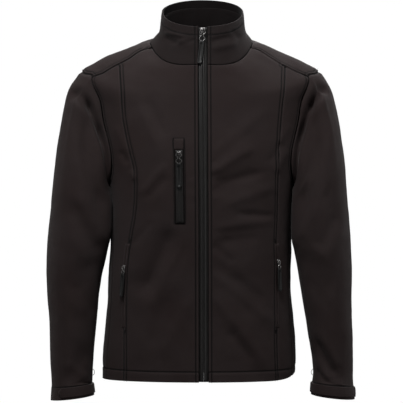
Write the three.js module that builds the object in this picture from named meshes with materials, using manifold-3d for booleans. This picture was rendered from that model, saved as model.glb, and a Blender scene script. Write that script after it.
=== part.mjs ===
// A softshell jacket as it is worn, standing round a hollow with no wearer in it.
// Millimetres, +Z up. The front faces -Y and the wearer's left side is +X.
// The origin is in the middle of the neck, level with the neck ends of the shoulder seams.
//
// The body of the jacket is one surface: a ring for each height, from the hem up over the shoulders to the
// neck seam. A point on it is an angle (0 at the zip, 180 at the middle of the back, minus on the wearer's
// right) and a height (that of the ring's two sides). Every panel is a patch of that surface between its seams.
import * as THREE from "three";
import { mergeGeometries, mergeVertices } from "three/addons/utils/BufferGeometryUtils.js";
import Module from "manifold-3d";

const wasm = await Module();
wasm.setup();

// Driving dimensions
const CLOTH = 1.8; // one layer of bonded cloth
const TURNED = 3.3; // two layers, at the turned hem and sleeve ends
const SEAM_GAP = 0.3; // between two pieces at a seam
const LYING_GAP = 0.35; // between a panel and what lies on it
const HEM_HEIGHT = -670;
const HEM_TURN = 21; // depth of the turned hem
const ZIP_OPENING = 18.4; // between the front edges
const ZIP_TAPE_WIDTH = 14.5; // each tape, half of it behind the front edge
const COLLAR_THICKNESS = 3.4; // outer and inner collar, sewn together
const ARMHOLE_STEPS = 32;
const RIGHT = -1;
const LEFT = 1;

// Rings of the body, from the neck seam down to the hem. raised lifts the wearer's left side of a ring.
const BODY_RINGS = columns(
  "height frontZ backZ right left frontY backY square zipX raised",
  [
    [0, -53, 22, 104, 103, 92, 64, 2.1, 2.5, 0],
    [-5, -58, 17, 129, 123, 93.5, 67, 2.08, 2.5, 0],
    [-13, -66, 8, 151, 142, 95.5, 72, 2.05, 2.5, 0],
    [-22, -76, -3, 173, 163, 97.5, 78, 2.02, 2.5, 0],
    [-31, -85, -13, 194, 184, 99.5, 83, 2, 2.6, 0],
    [-42, -95, -26, 213, 206, 101.5, 88, 2, 2.6, 0],
    [-60, -112, -44, 236, 231, 105, 94, 2.02, 2.7, 0],
    [-100, -146, -90, 223, 219, 111, 104, 2.1, 2.8, 0],
    [-150, -186, -144, 211, 208, 116.5, 111, 2.2, 3, 0],
    [-210, -231, -206, 200, 198, 121.5, 115, 2.3, 3.1, 0],
    [-255, -268, -252, 191, 190, 123.5, 114.5, 2.35, 3.3, 0],
    [-291, -298, -289, 186, 185, 124, 112, 2.38, 3.5, 0],
    [-340, -344, -339, 182, 181, 123, 107, 2.4, 3.8, 0],
    [-400, -402, -400, 182, 179, 121, 103, 2.4, 4, 0],
    [-480, -480, -480, 186, 178, 118, 101, 2.4, 4.1, 0],
    [-560, -560, -560, 190.5, 184, 116, 106, 2.38, 4.2, 3],
    [-640, -639, -641, 197, 188.5, 117, 111, 2.35, 4.3, 9],
    [-670, -668, -672, 196.5, 186, 117.5, 112.5, 2.35, 4.4, 13],
  ],
);

// The collar's rings, from just above the neck seam to the top edge. At level 1 a ring lies in one plane.
const COLLAR_RINGS = columns(
  "rise sideZ frontZ backZ right left frontY backY square level",
  [
    [0, 1.2, -51.6, 23.2, 103.5, 102.5, 92, 64, 2.1, 0],
    [0.16, 8, -39, 36, 96, 98, 87.5, 63, 2.1, 0.25],
    [0.36, 18.5, -23, 50, 86, 90, 83.5, 64, 2.15, 0.5],
    [0.6, 36, -4.5, 67, 82.5, 86.5, 79, 66.5, 2.2, 0.8],
    [0.82, 51, 12, 82, 80.5, 85, 76, 69, 2.2, 0.95],
    [1, 61, 23.5, 92, 78.5, 83, 74.5, 71, 2.2, 1],
  ],
);

// The armhole, from the shoulder tip down its front to the underarm and up its back
const ARMHOLE = columns("turn angle height", [
  [0, 90, -60],
  [1, 77, -58.5],
  [2, 66, -56],
  [3, 63.5, -100],
  [4, 64.5, -150],
  [5, 61.5, -210],
  [6, 65.5, -253],
  [7, 76, -281],
  [8, 90, -291],
  [9, 104, -281],
  [10, 115, -253],
  [11, 119, -208],
  [12, 118, -150],
  [13, 117, -100],
  [14, 112, -67],
  [15, 101, -60.5],
]);
const SIDE_SEAM_TURN = 7; // where the side seam ends on the armhole
const SHOULDER_SEAM_TURN = 2; // where the shoulder seam ends on the armhole

// The side seam lies a little forward of the side
const SIDE_SEAM = columns("height angle", [
  [-281, 76],
  [-400, 72],
  [-500, 70],
  [-670, 70],
]);

// The shoulder seam runs from the neck to the armhole, forward of the shoulder's ridge
const SHOULDER_SEAM = {
  [RIGHT]: columns("height angle", [
    [0, 70.5],
    [-18.5, 64],
    [-41, 63.5],
    [-56, 66],
  ]),
  [LEFT]: columns("height angle", [
    [0, 70.5],
    [-14, 66],
    [-31, 64],
    [-56, 66],
  ]),
};

// The panel seam down each front, measured outwards from the middle of the body
const PANEL_SEAM = {
  [RIGHT]: columns("height x", [
    [-26, 162],
    [-60, 157.5],
    [-112, 155],
    [-165, 147.5],
    [-206, 140],
    [-258, 131],
    [-301, 131],
    [-342, 134],
    [-375, 139.5],
    [-418, 146],
    [-490, 151],
    [-567, 152],
    [-670, 152],
  ]),
  [LEFT]: columns("height x", [
    [-26, 166],
    [-71, 161],
    [-123, 156.5],
    [-185, 152.5],
    [-229, 151],
    [-298, 149],
    [-342, 148.5],
    [-399, 146.5],
    [-446, 148],
    [-590, 148],
    [-670, 150],
  ]),
};

// Rings of each sleeve, from the armhole to the sleeve's end. A ring is given by its outer and inner points
// as seen from the front, its half depth and the Y of its middle. armhole is how much of the armhole's own
// shape is still in it.
const SLEEVE_RINGS = {
  [RIGHT]: columns("ring outerX outerZ innerX innerZ depth midY armhole", [
    [0, 236, -60, 186, -291, 58, 0, 1],
    [1, 251.6, -76, 187.4, -299, 60, -4, 0.8],
    [2, 264.3, -97, 186.7, -305, 61.5, -9, 0.6],
    [3, 273.8, -133, 185.2, -313, 62.5, -16, 0.42],
    [4, 281.2, -178, 183.3, -324, 63, -23, 0.28],
    [5, 288.6, -232, 182.2, -340, 62.5, -28, 0.16],
    [6, 295.2, -290, 181.4, -362, 61.5, -31, 0.07],
    [7, 301, -350, 181.5, -390, 60.5, -33, 0.02],
    [8, 304.8, -405, 187, -422, 59, -34, 0],
    [9, 305.8, -455, 195.5, -460, 57, -35, 0],
    [10, 304.2, -505, 202, -503, 54, -35, 0],
    [11, 302, -550, 207, -548, 51, -35, 0],
    [12, 300.2, -595, 211, -592, 48, -36, 0],
    [13, 298.4, -635, 213.5, -630, 45.5, -37, 0],
    [14, 296.6, -662, 215, -656, 44, -38, 0],
    [15, 296, -681, 215.6, -673, 43.5, -39, 0],
    [16, 296, -684, 215.6, -676, 43.5, -39, 0],
    [17, 297.2, -710, 212.2, -700, 43, -41, 0],
  ]),
  [LEFT]: columns("ring outerX outerZ innerX innerZ depth midY armhole", [
    [0, 231, -60, 185, -291, 58, 0, 1],
    [1, 246.6, -74, 186.9, -299, 60, -4, 0.8],
    [2, 258.3, -96, 186.1, -305, 61.5, -9, 0.6],
    [3, 267.8, -130, 184.3, -313, 62, -16, 0.42],
    [4, 275.2, -172, 182.2, -324, 62, -23, 0.28],
    [5, 280.7, -222, 181.2, -340, 61.5, -28, 0.16],
    [6, 286.2, -282, 180.4, -362, 60.5, -31, 0.07],
    [7, 291, -345, 179.4, -390, 59, -33, 0.02],
    [8, 295.3, -402, 184.3, -420, 57.5, -34, 0],
    [9, 296.8, -455, 190.5, -460, 55, -35, 0],
    [10, 296.6, -505, 198, -503, 52, -35, 0],
    [11, 297.8, -550, 206, -548, 49, -35, 0],
    [12, 298.2, -595, 213, -592, 46, -36, 0],
    [13, 299.3, -635, 218.7, -630, 43.5, -37, 0],
    [14, 299, -662, 219.8, -656, 42.5, -38, 0],
    [15, 299.5, -679, 218.4, -671, 43, -39, 0],
    [16, 300, -682, 217.9, -674, 43.5, -39, 0],
    [17, 302, -708, 216.3, -699, 44, -41, 0],
  ]),
};
const SLEEVE_RING_COUNT = 18;
const SLEEVE_START = 0.05; // the first ring's place, just clear of the armhole
const SLEEVE_TURN_RING = 16; // the sleeve's end is turned in below this ring

// Large folds of the body, drawn on the front view. Each is a soft trough (minus) or ridge (plus) between two
// points, as wide as it says to each side, and fades to nothing at its ends.
const FRONT_FOLDS = columns("x1 z1 x2 z2 width height", [
  [-122, -140, -75, -235, 20, 2.6],
  [-60, -372, -112, -500, 19, -4.2],
  [-95, -350, -134, -470, 17, 2.6],
  [-55, -440, -125, -620, 24, 3],
  [22, -268, 92, -208, 15, 3.4],
  [26, -300, 110, -262, 17, -3.2],
  [30, -395, 112, -380, 17, -3.4],
  [30, -438, 108, -540, 18, -3.8],
  [38, -492, 128, -655, 22, 3.2],
  [58, -560, 112, -668, 15, -2.6],
]);
const BACK_FOLDS = columns("x1 z1 x2 z2 width height", [
  [-132, -290, -40, -215, 24, -3],
  [130, -290, 46, -225, 24, -3],
  [-120, -376, -20, -450, 26, -3.2],
  [118, -366, 30, -440, 24, -3],
  [-70, -520, -110, -665, 24, 3.2],
  [66, -510, 120, -665, 26, 3.2],
  [-8, -540, 6, -668, 22, 2.4],
]);
// Large folds of the sleeves, drawn on the unrolled sleeve: turn 0 at the outside, 8 at the front, 16 inside
const SLEEVE_FOLDS = columns("ring1 turn1 ring2 turn2 ringWidth turnWidth height", [
  [2.1, 5.4, 5.2, 12.6, 1.15, 1.5, -9],
  [2.1, 26.6, 5.2, 19.4, 1.15, 1.5, -6],
  [8.2, 12.8, 9.8, 7.2, 0.62, 2.2, -3.2],
  [9.2, 18.8, 10.6, 24, 0.62, 2.2, -3],
  [12.2, 12.2, 14.6, 6.6, 0.6, 1.8, -2.6],
]);

// A table of rows under named columns, each column a smooth function of the first one
function columns(names, rows) {
  const keys = names.split(" ");
  const sorted = [...rows].sort((a, b) => a[0] - b[0]);
  const at = sorted.map((row) => row[0]);
  const made = { rows: rows.map((row) => Object.fromEntries(keys.map((key, i) => [key, row[i]]))) };
  keys.slice(1).forEach((key, i) => {
    made[key] = smooth(at, sorted.map((row) => row[i + 1]));
  });
  return made;
}

// A curve through the values that never swings past them
function smooth(at, values) {
  const count = at.length;
  const step = at.slice(1).map((a, i) => a - at[i]);
  const rate = step.map((s, i) => (values[i + 1] - values[i]) / s);
  const slope = values.map((_, i) => {
    if (i === 0) return rate[0];
    if (i === count - 1) return rate[count - 2];
    if (rate[i - 1] * rate[i] <= 0) return 0;
    const before = 2 * step[i] + step[i - 1];
    const after = step[i] + 2 * step[i - 1];
    return (before + after) / (before / rate[i - 1] + after / rate[i]);
  });
  return (t) => {
    if (t <= at[0]) return values[0];
    if (t >= at[count - 1]) return values[count - 1];
    let i = 0;
    while (t > at[i + 1]) i += 1;
    const h = step[i];
    const u = (t - at[i]) / h;
    const keep = 1 - u;
    return (
      values[i] * (1 + 2 * u) * keep * keep +
      slope[i] * h * u * keep * keep +
      values[i + 1] * u * u * (3 - 2 * u) -
      slope[i + 1] * h * u * u * keep
    );
  };
}

const lerp = (a, b, t) => a + (b - a) * t;
const ease = (t) => {
  const u = Math.min(1, Math.max(0, t));
  return u * u * (3 - 2 * u);
};
const steps = (count) => Array.from({ length: count + 1 }, (_, i) => i / count);

// A point of a ring that is a rounded rectangle in plan and dips at its front and back
function ringPoint(ring, angle) {
  const turn = (angle * Math.PI) / 180;
  const across = Math.sin(turn);
  const ahead = Math.cos(turn);
  const power = 2 / ring.square;
  const reach = across < 0 ? ring.right + ring.zipX : ring.left - ring.zipX;
  const depth = ahead > 0 ? ring.frontY : ring.backY;
  const dip = lerp(ease(Math.abs(ahead)), Math.abs(ahead) ** power, ring.level);
  const far = ahead > 0 ? ring.frontZ : ring.backZ;
  return new THREE.Vector3(
    ring.zipX + Math.sign(across) * reach * Math.abs(across) ** power,
    -Math.sign(ahead) * depth * Math.abs(ahead) ** power,
    lerp(ring.sideZ, far, dip) + ring.raised * Math.max(0, across) ** 10,
  );
}

function bodyRing(height) {
  const ring = { sideZ: height, level: 0 };
  for (const key of ["frontZ", "backZ", "right", "left", "frontY", "backY", "square", "zipX", "raised"])
    ring[key] = BODY_RINGS[key](height);
  return ring;
}

function collarRing(rise) {
  const ring = { zipX: BODY_RINGS.zipX(0), raised: 0 };
  for (const key of ["sideZ", "frontZ", "backZ", "right", "left", "frontY", "backY", "square", "level"])
    ring[key] = COLLAR_RINGS[key](rise);
  return ring;
}

// How high a set of folds stands at a place, given in the folds' own two coordinates
function foldHeight(folds, x, z) {
  return folds.rows.reduce((sum, fold) => {
    const dx = fold.x2 - fold.x1;
    const dz = fold.z2 - fold.z1;
    const along = ((x - fold.x1) * dx + (z - fold.z1) * dz) / (dx * dx + dz * dz);
    const off = ((x - fold.x1) * dz - (z - fold.z1) * dx) / Math.hypot(dx, dz) / fold.width;
    const fade = ease(along / 0.3 + 0.35) * ease((1 - along) / 0.3 + 0.35);
    return sum + fold.height * fade * Math.exp(-off * off);
  }, 0);
}

// The direction out of a surface, from its points close by
function outwards(surface, u, v, du, dv) {
  const alongU = surface(u + du, v).sub(surface(u - du, v));
  const alongV = surface(u, v + dv).sub(surface(u, v - dv));
  return alongU.cross(alongV).normalize();
}

const plainBody = (angle, height) => ringPoint(bodyRing(height), angle);

const FOLDS_FADE = 14; // degrees from the body's sides over which its folds fade

// A point of the body and the direction out of it. lift moves the point out of the cloth's outer face.
function body(angle, height, lift = 0) {
  const low = Math.max(HEM_HEIGHT + 0.5, Math.min(-0.5, height));
  const out = outwards(plainBody, angle, low, 0.4, 0.5);
  const point = plainBody(angle, height);
  const folds = Math.abs(angle) < 90 ? FRONT_FOLDS : BACK_FOLDS;
  const fromSide = Math.abs(Math.abs(angle) - 90);
  const relief = foldHeight(folds, point.x, point.z) * ease(fromSide / FOLDS_FADE);
  return { point: point.addScaledVector(out, relief + lift), out };
}

// The angle on a ring at which the body is x away from the middle, on one side
function angleAt(x, height, side) {
  const ring = bodyRing(height);
  const reach = side < 0 ? ring.right + ring.zipX : ring.left - ring.zipX;
  const share = Math.min(1, Math.max(0, side * (x - ring.zipX)) / reach);
  return (side * Math.asin(share ** (ring.square / 2)) * 180) / Math.PI;
}

// The seams, as angle and height along t from 0 to 1
const panelSeam = (side) => (height) => [
  angleAt(side * PANEL_SEAM[side].x(height), height, side),
  height,
];

function armhole(side, turn) {
  const rows = ARMHOLE.rows;
  const count = rows.length;
  const i = Math.floor(turn);
  const u = turn - i;
  const [a, b, c, d] = [-1, 0, 1, 2].map((k) => rows[(i + k + count) % count]);
  const through = (key) =>
    0.5 *
    (2 * b[key] +
      (c[key] - a[key]) * u +
      (2 * a[key] - 5 * b[key] + 4 * c[key] - d[key]) * u * u +
      (3 * b[key] - a[key] - 3 * c[key] + d[key]) * u * u * u);
  return [side * through("angle"), through("height")];
}

function shoulderSeam(side, t) {
  const height = lerp(0, ARMHOLE.rows[SHOULDER_SEAM_TURN].height, t);
  return [side * SHOULDER_SEAM[side].angle(height), height];
}

// Where the panel seam meets the shoulder seam, as a share of the shoulder seam
const PANEL_SEAM_SHARE = { [RIGHT]: 0.47, [LEFT]: 0.5 };

// Rows up the outer edge of the front panels: the side seam, then the armhole up to the shoulder seam
const SIDE_ROWS = [-670, -649, -646, -610, -560, -500, -440, -385, -330, -281];
const ARMHOLE_ROWS_FRONT = 2 * (SIDE_SEAM_TURN - SHOULDER_SEAM_TURN);
const BACK_ARMHOLE_TURNS = ARMHOLE.rows.length - SIDE_SEAM_TURN + SHOULDER_SEAM_TURN;
const BACK_ARMHOLE_ROWS = 2 * BACK_ARMHOLE_TURNS;
const BACK_ROW_START = -300;

function sideEdge(side) {
  const seam = SIDE_ROWS.map((height) => [side * SIDE_SEAM.angle(height), height]);
  const curve = steps(ARMHOLE_ROWS_FRONT)
    .slice(1)
    .map((t) => armhole(side, lerp(SIDE_SEAM_TURN, SHOULDER_SEAM_TURN, t)));
  return [...seam, ...curve];
}

function backEdge(side) {
  const seam = SIDE_ROWS.map((height) => [side * SIDE_SEAM.angle(height), height]);
  const curve = steps(BACK_ARMHOLE_ROWS)
    .slice(1)
    .map((t) => armhole(side, (SIDE_SEAM_TURN + BACK_ARMHOLE_TURNS * t) % ARMHOLE.rows.length));
  return [...seam, ...curve];
}

// The heights of the panel seam's rows follow those of the side edge
function panelSeamRows(side) {
  const edge = sideEdge(side);
  const from = SIDE_ROWS[SIDE_ROWS.length - 1];
  const top = shoulderSeam(side, PANEL_SEAM_SHARE[side])[1];
  const end = edge[edge.length - 1][1];
  const seam = panelSeam(side);
  return edge.map(([, height], i) => {
    if (i < SIDE_ROWS.length) return seam(height);
    if (i === edge.length - 1) return shoulderSeam(side, PANEL_SEAM_SHARE[side]);
    return seam(lerp(from, top, (height - from) / (end - from)));
  });
}

// Fills a patch between four edges. The hem and top edges pull only on the rows near them.
function patch(first, last, bottom, top, pull) {
  const rows = first.length - 1;
  const cols = bottom.length - 1;
  return first.map((start, i) => {
    const t = i / rows;
    const low = (1 - t) ** 6;
    const high = pull(t);
    return bottom.map((_, j) => {
      const s = j / cols;
      return [0, 1].map((k) => {
        const across = lerp(start[k], last[i][k], s);
        const fromBottom = bottom[j][k] - lerp(first[0][k], last[0][k], s);
        const fromTop = top[j][k] - lerp(first[rows][k], last[rows][k], s);
        return across + low * fromBottom + high * fromTop;
      });
    });
  });
}

const NECK_FRONT_STEPS = 6;
const NECK_BACK_STEPS = 14;
const SHOULDER_STEPS = 3;
const SIDE_PANEL_STEPS = 5;

// The shoulder seam's points, as shares of it: those of the front panel, then those of the side panel
function shoulderShares(side) {
  const share = PANEL_SEAM_SHARE[side];
  const front = steps(SHOULDER_STEPS).map((t) => t * share);
  return [...front, ...steps(SIDE_PANEL_STEPS).slice(1).map((t) => lerp(share, 1, t))];
}

// Angles of the neck seam's points at the front of one side, from the zip to the shoulder seam
function neckFront(side) {
  const start = angleAt(BODY_RINGS.zipX(0) + (side * ZIP_OPENING) / 2, 0, side);
  return steps(NECK_FRONT_STEPS).map((t) => lerp(start, shoulderSeam(side, 0)[0], t));
}

function frontPanel(side) {
  const seam = panelSeamRows(side);
  const toX = ([angle, height]) => [plainBody(angle, height).x, height];
  const top = [
    ...neckFront(side).map((angle) => [angle, 0]),
    ...steps(SHOULDER_STEPS)
      .slice(1)
      .map((t) => shoulderSeam(side, t * PANEL_SEAM_SHARE[side])),
  ].map(toX);
  const last = seam.map(toX);
  const rows = last.length - 1;
  const first = last.map(([, height], i) => {
    const raised = lerp(height, 0, ease((i / rows - 0.55) / 0.45));
    return [BODY_RINGS.zipX(raised) + (side * ZIP_OPENING) / 2, raised];
  });
  const cols = NECK_FRONT_STEPS + SHOULDER_STEPS;
  const bottom = steps(cols).map((t) => [lerp(first[0][0], last[0][0], t), HEM_HEIGHT]);
  const grid = patch(first, last, bottom, top, (t) => t ** 5);
  return grid.map((row) => row.map(([x, height]) => [angleAt(x, height, side), height]));
}

function sidePanel(side) {
  const first = panelSeamRows(side);
  const last = sideEdge(side);
  const share = PANEL_SEAM_SHARE[side];
  const top = steps(SIDE_PANEL_STEPS).map((t) => shoulderSeam(side, lerp(share, 1, t)));
  const bottom = steps(SIDE_PANEL_STEPS).map((t) => [lerp(first[0][0], last[0][0], t), HEM_HEIGHT]);
  return patch(first, last, bottom, top, (t) => t ** 3);
}

// The back runs from side seam to side seam and forward over both shoulders
function backPanel() {
  const fullTurn = 360;
  const first = backEdge(LEFT);
  const last = backEdge(RIGHT).map(([angle, height]) => [fullTurn + angle, height]);
  const shoulder = (side) => shoulderShares(side).reverse().map((t) => shoulderSeam(side, t));
  const start = shoulderSeam(LEFT, 0)[0];
  const end = fullTurn + shoulderSeam(RIGHT, 0)[0];
  const neck = steps(NECK_BACK_STEPS)
    .slice(1, -1)
    .map((t) => [lerp(start, end, t), 0]);
  const top = [
    ...shoulder(LEFT),
    ...neck,
    ...shoulder(RIGHT)
      .reverse()
      .map(([angle, height]) => [fullTurn + angle, height]),
  ];
  const cols = top.length - 1;
  const bottom = steps(cols).map((t) => [lerp(first[0][0], last[0][0], t), HEM_HEIGHT]);
  const grid = patch(first, last, bottom, top, (t) => Math.max(0, (t - 0.45) / 0.55) ** 3);
  return grid.map((row, i) =>
    row.map(([a, height], j) => {
      const middle = ease(2.6 * Math.min(j, cols - j) / cols);
      return [a > 180 ? a - fullTurn : a, lerp(height, risingRow(i, top[j][1]), middle)];
    }),
  );
}

// The height of the back's rows away from its side edges, which dip under the arms where these do not
function risingRow(i, topHeight) {
  const below = SIDE_ROWS.length - 1;
  if (i < below) return SIDE_ROWS[i];
  return lerp(BACK_ROW_START, topHeight, (i - below) / BACK_ARMHOLE_ROWS);
}

// A closed wall from a grid of outer and inner points. closed joins the last column to the first.
function wall(outer, inner, closed = false) {
  const rows = outer.length;
  const cols = outer[0].length;
  const position = [];
  for (const face of [outer, inner])
    for (const row of face) for (const p of row) position.push(p.x, p.y, p.z);
  const at = (face, i, j) => face * rows * cols + i * cols + (j % cols);
  const index = [];
  const quad = (a, b, c, d) => index.push(a, b, c, a, c, d);
  const spans = closed ? cols : cols - 1;
  for (let i = 0; i < rows - 1; i += 1)
    for (let j = 0; j < spans; j += 1) {
      quad(at(0, i, j), at(0, i, j + 1), at(0, i + 1, j + 1), at(0, i + 1, j));
      quad(at(1, i, j), at(1, i + 1, j), at(1, i + 1, j + 1), at(1, i, j + 1));
    }
  for (let j = 0; j < spans; j += 1) {
    quad(at(0, 0, j + 1), at(0, 0, j), at(1, 0, j), at(1, 0, j + 1));
    quad(at(0, rows - 1, j), at(0, rows - 1, j + 1), at(1, rows - 1, j + 1), at(1, rows - 1, j));
  }
  if (!closed)
    for (let i = 0; i < rows - 1; i += 1) {
      quad(at(0, i, 0), at(0, i + 1, 0), at(1, i + 1, 0), at(1, i, 0));
      quad(at(0, i + 1, cols - 1), at(0, i, cols - 1), at(1, i, cols - 1), at(1, i + 1, cols - 1));
    }
  const geometry = new THREE.BufferGeometry();
  geometry.setAttribute("position", new THREE.Float32BufferAttribute(position, 3));
  geometry.setIndex(index);
  return facingOut(geometry);
}

// Turns every face round if the solid is inside out
function facingOut(geometry) {
  const p = geometry.getAttribute("position");
  const index = geometry.index.array;
  const [a, b, c] = [new THREE.Vector3(), new THREE.Vector3(), new THREE.Vector3()];
  let volume = 0;
  for (let i = 0; i < index.length; i += 3) {
    a.fromBufferAttribute(p, index[i]);
    b.fromBufferAttribute(p, index[i + 1]);
    c.fromBufferAttribute(p, index[i + 2]);
    volume += a.dot(b.cross(c)) / 6;
  }
  if (volume < 0)
    for (let i = 0; i < index.length; i += 3) [index[i], index[i + 1]] = [index[i + 1], index[i]];
  return geometry;
}

// Draws a grid's edge rows and columns in, so that half the seam gap is left on each side of a seam
function drawIn(grid, distance, sides) {
  const rows = grid.length - 1;
  const cols = grid[0].length - 1;
  const moved = grid.map((row) => row.map((p) => p.clone()));
  const pull = (i, j, towardsI, towardsJ) => {
    const step = grid[towardsI][towardsJ].clone().sub(grid[i][j]).setLength(distance);
    moved[i][j].add(step);
  };
  for (let i = 0; i <= rows; i += 1) {
    if (sides.first) pull(i, 0, i, 1);
    if (sides.last) pull(i, cols, i, cols - 1);
  }
  for (let j = 0; j <= cols; j += 1) {
    if (sides.top) pull(rows, j, rows - 1, j);
    if (sides.bottom) pull(0, j, 1, j);
  }
  return moved;
}

const clothAt = (height) => (height <= HEM_HEIGHT + HEM_TURN + 0.5 ? TURNED : CLOTH);

function panelSolid(grid, sides) {
  const outer = grid.map((row) => row.map(([angle, height]) => body(angle, height).point));
  const inner = grid.map((row) =>
    row.map(([angle, height]) => body(angle, height, -clothAt(height)).point),
  );
  const half = SEAM_GAP / 2 + 0.03;
  return wall(drawIn(outer, half, sides), drawIn(inner, half, sides));
}

// The middle of a sleeve's ring and its three directions: up to its outer side, back, and off its own plane
function sleeveFrame(side, ring) {
  const rings = SLEEVE_RINGS[side];
  const outer = new THREE.Vector3(side * rings.outerX(ring), rings.midY(ring), rings.outerZ(ring));
  const inner = new THREE.Vector3(side * rings.innerX(ring), rings.midY(ring), rings.innerZ(ring));
  const middle = outer.clone().add(inner).multiplyScalar(0.5);
  const up = outer.sub(inner).multiplyScalar(0.5);
  const back = new THREE.Vector3(0, 1, 0).multiplyScalar(rings.depth(ring));
  const beside = up.clone().normalize().cross(new THREE.Vector3(0, 1, 0));
  return { middle, up, back, beside };
}

// A point of the armhole, in the frame of the sleeve's first ring
function armholeShape(side, turn) {
  const frame = sleeveFrame(side, 0);
  const [angle, height] = armhole(side, turn / 2);
  const { point } = body(angle, height, SEAM_GAP);
  const off = point.sub(frame.middle);
  return {
    up: off.dot(frame.up) / frame.up.lengthSq(),
    back: off.dot(frame.back) / frame.back.lengthSq(),
    beside: off.dot(frame.beside),
  };
}

// The armhole's shape is worked out once for each of its points and joined by a curve in between
const ARMHOLE_SHAPES = Object.fromEntries(
  [RIGHT, LEFT].map((side) => [
    side,
    Array.from({ length: ARMHOLE_STEPS }, (_, i) => armholeShape(side, i)),
  ]),
);

function plainSleeve(side, ring, turn) {
  const rings = SLEEVE_RINGS[side];
  const frame = sleeveFrame(side, ring);
  const shapes = ARMHOLE_SHAPES[side];
  const whole = Math.floor(turn);
  const part = turn - whole;
  const a = shapes[((whole % ARMHOLE_STEPS) + ARMHOLE_STEPS) % ARMHOLE_STEPS];
  const b = shapes[(((whole + 1) % ARMHOLE_STEPS) + ARMHOLE_STEPS) % ARMHOLE_STEPS];
  const share = rings.armhole(ring);
  const around = (turn / ARMHOLE_STEPS) * Math.PI * 2;
  const up = lerp(Math.cos(around), lerp(a.up, b.up, part), share);
  const back = lerp(-Math.sin(around), lerp(a.back, b.back, part), share);
  const beside = lerp(0, lerp(a.beside, b.beside, part), share);
  return frame.middle
    .clone()
    .addScaledVector(frame.up, up)
    .addScaledVector(frame.back, back)
    .addScaledVector(frame.beside, beside);
}

function sleeveFold(ring, turn) {
  return SLEEVE_FOLDS.rows.reduce((sum, fold) => {
    const alongRing = (fold.ring2 - fold.ring1) / fold.ringWidth;
    const alongTurn = (fold.turn2 - fold.turn1) / fold.turnWidth;
    const r = (ring - fold.ring1) / fold.ringWidth;
    const t = (turn - fold.turn1) / fold.turnWidth;
    const length = Math.hypot(alongRing, alongTurn);
    const along = (r * alongRing + t * alongTurn) / (length * length);
    const off = (r * alongTurn - t * alongRing) / length;
    const fade = ease(along / 0.3 + 0.35) * ease((1 - along) / 0.3 + 0.35);
    return sum + fold.height * fade * Math.exp(-off * off);
  }, 0);
}

// A point of a sleeve and the direction out of it
function sleeve(side, ring, turn, lift = 0) {
  const near = Math.max(0.05, Math.min(SLEEVE_RING_COUNT - 1.05, ring));
  const surface = (r, t) => plainSleeve(side, r, t);
  const out = outwards(surface, near, turn, 0.05, 0.4).multiplyScalar(-side);
  const settled = ease(ring / 1.5);
  const height = sleeveFold(ring, turn) * settled;
  return { point: plainSleeve(side, ring, turn).addScaledVector(out, height + lift), out };
}

function sleeveSolid(side) {
  const rings = [SLEEVE_START, ...SLEEVE_RINGS[side].rows.map((row) => row.ring).slice(1, -1), 16.5, 17];
  const turns = Array.from({ length: ARMHOLE_STEPS }, (_, i) => i);
  const clothOf = (ring) => (ring >= SLEEVE_TURN_RING ? TURNED : CLOTH);
  const face = (lift) =>
    rings.map((ring) => turns.map((turn) => sleeve(side, ring, turn, -lift(ring)).point));
  return wall(face(() => 0), face(clothOf), true);
}

// The strap that closes the sleeve's end lies on it from behind its inner side round to the front, where its
// end is pointed
const CUFF_TABS = {
  [RIGHT]: { from: 20, to: 6, point: 0.8 },
  [LEFT]: { from: 20, to: 1, point: 0.6 },
};
const CUFF_TAB_RINGS = [16.14, 16.3, 16.5, 16.7, 16.86];
const CUFF_TAB_THICKNESS = 2.2;
const CUFF_TAB_GAP = 0.7;

function cuffTab(side) {
  const tab = CUFF_TABS[side];
  const middle = (CUFF_TAB_RINGS.length - 1) / 2;
  const turns = Array.from({ length: tab.from - tab.to + 1 }, (_, i) => tab.from - i);
  const face = (lift) =>
    CUFF_TAB_RINGS.map((ring, i) => {
      const end = tab.to - 0.3 - tab.point * ease(1 - Math.abs(i - middle) / middle);
      return [...turns, end].map((turn) => sleeve(side, ring, turn, lift).point);
    });
  return wall(face(CUFF_TAB_GAP + CUFF_TAB_THICKNESS), face(CUFF_TAB_GAP));
}

// The collar stands on the neck seam, open at the zip. Its front edges keep their distance from the zip.
const COLLAR_RISES = [0, 0.16, 0.36, 0.6, 0.82, 0.96, 1];

function ringAngleAt(ring, across) {
  const reach = across < 0 ? ring.right + ring.zipX : ring.left - ring.zipX;
  const share = (Math.abs(across) / reach) ** (ring.square / 2);
  return (Math.sign(across) * Math.asin(share) * 180) / Math.PI;
}

function collarAngles(rise) {
  const fullTurn = 360;
  const ring = collarRing(rise);
  const edge = (side) => ringAngleAt(ring, (side * ZIP_OPENING) / 2);
  const shoulder = (side) => shoulderSeam(side, 0)[0];
  const front = (side) => steps(NECK_FRONT_STEPS).map((t) => lerp(edge(side), shoulder(side), t));
  const right = front(RIGHT).reverse().map((angle) => angle + fullTurn);
  const back = steps(NECK_BACK_STEPS)
    .slice(1, -1)
    .map((t) => lerp(shoulder(LEFT), fullTurn + shoulder(RIGHT), t));
  return [...front(LEFT), ...back, ...right];
}

function collar(angle, rise, lift = 0) {
  const surface = (a, r) => ringPoint(collarRing(r), a);
  const near = Math.max(0.01, Math.min(0.99, rise));
  const out = outwards(surface, angle, near, 0.4, 0.01);
  return { point: surface(angle, rise).addScaledVector(out, lift), out };
}

function collarSolid() {
  const rolled = (rise) => (rise > 0.97 ? 0.7 : 0);
  const face = (lift) =>
    COLLAR_RISES.map((rise) => collarAngles(rise).map((a) => collar(a, rise, lift(rise)).point));
  return wall(face((rise) => -rolled(rise)), face((rise) => rolled(rise) - COLLAR_THICKNESS));
}

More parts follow.
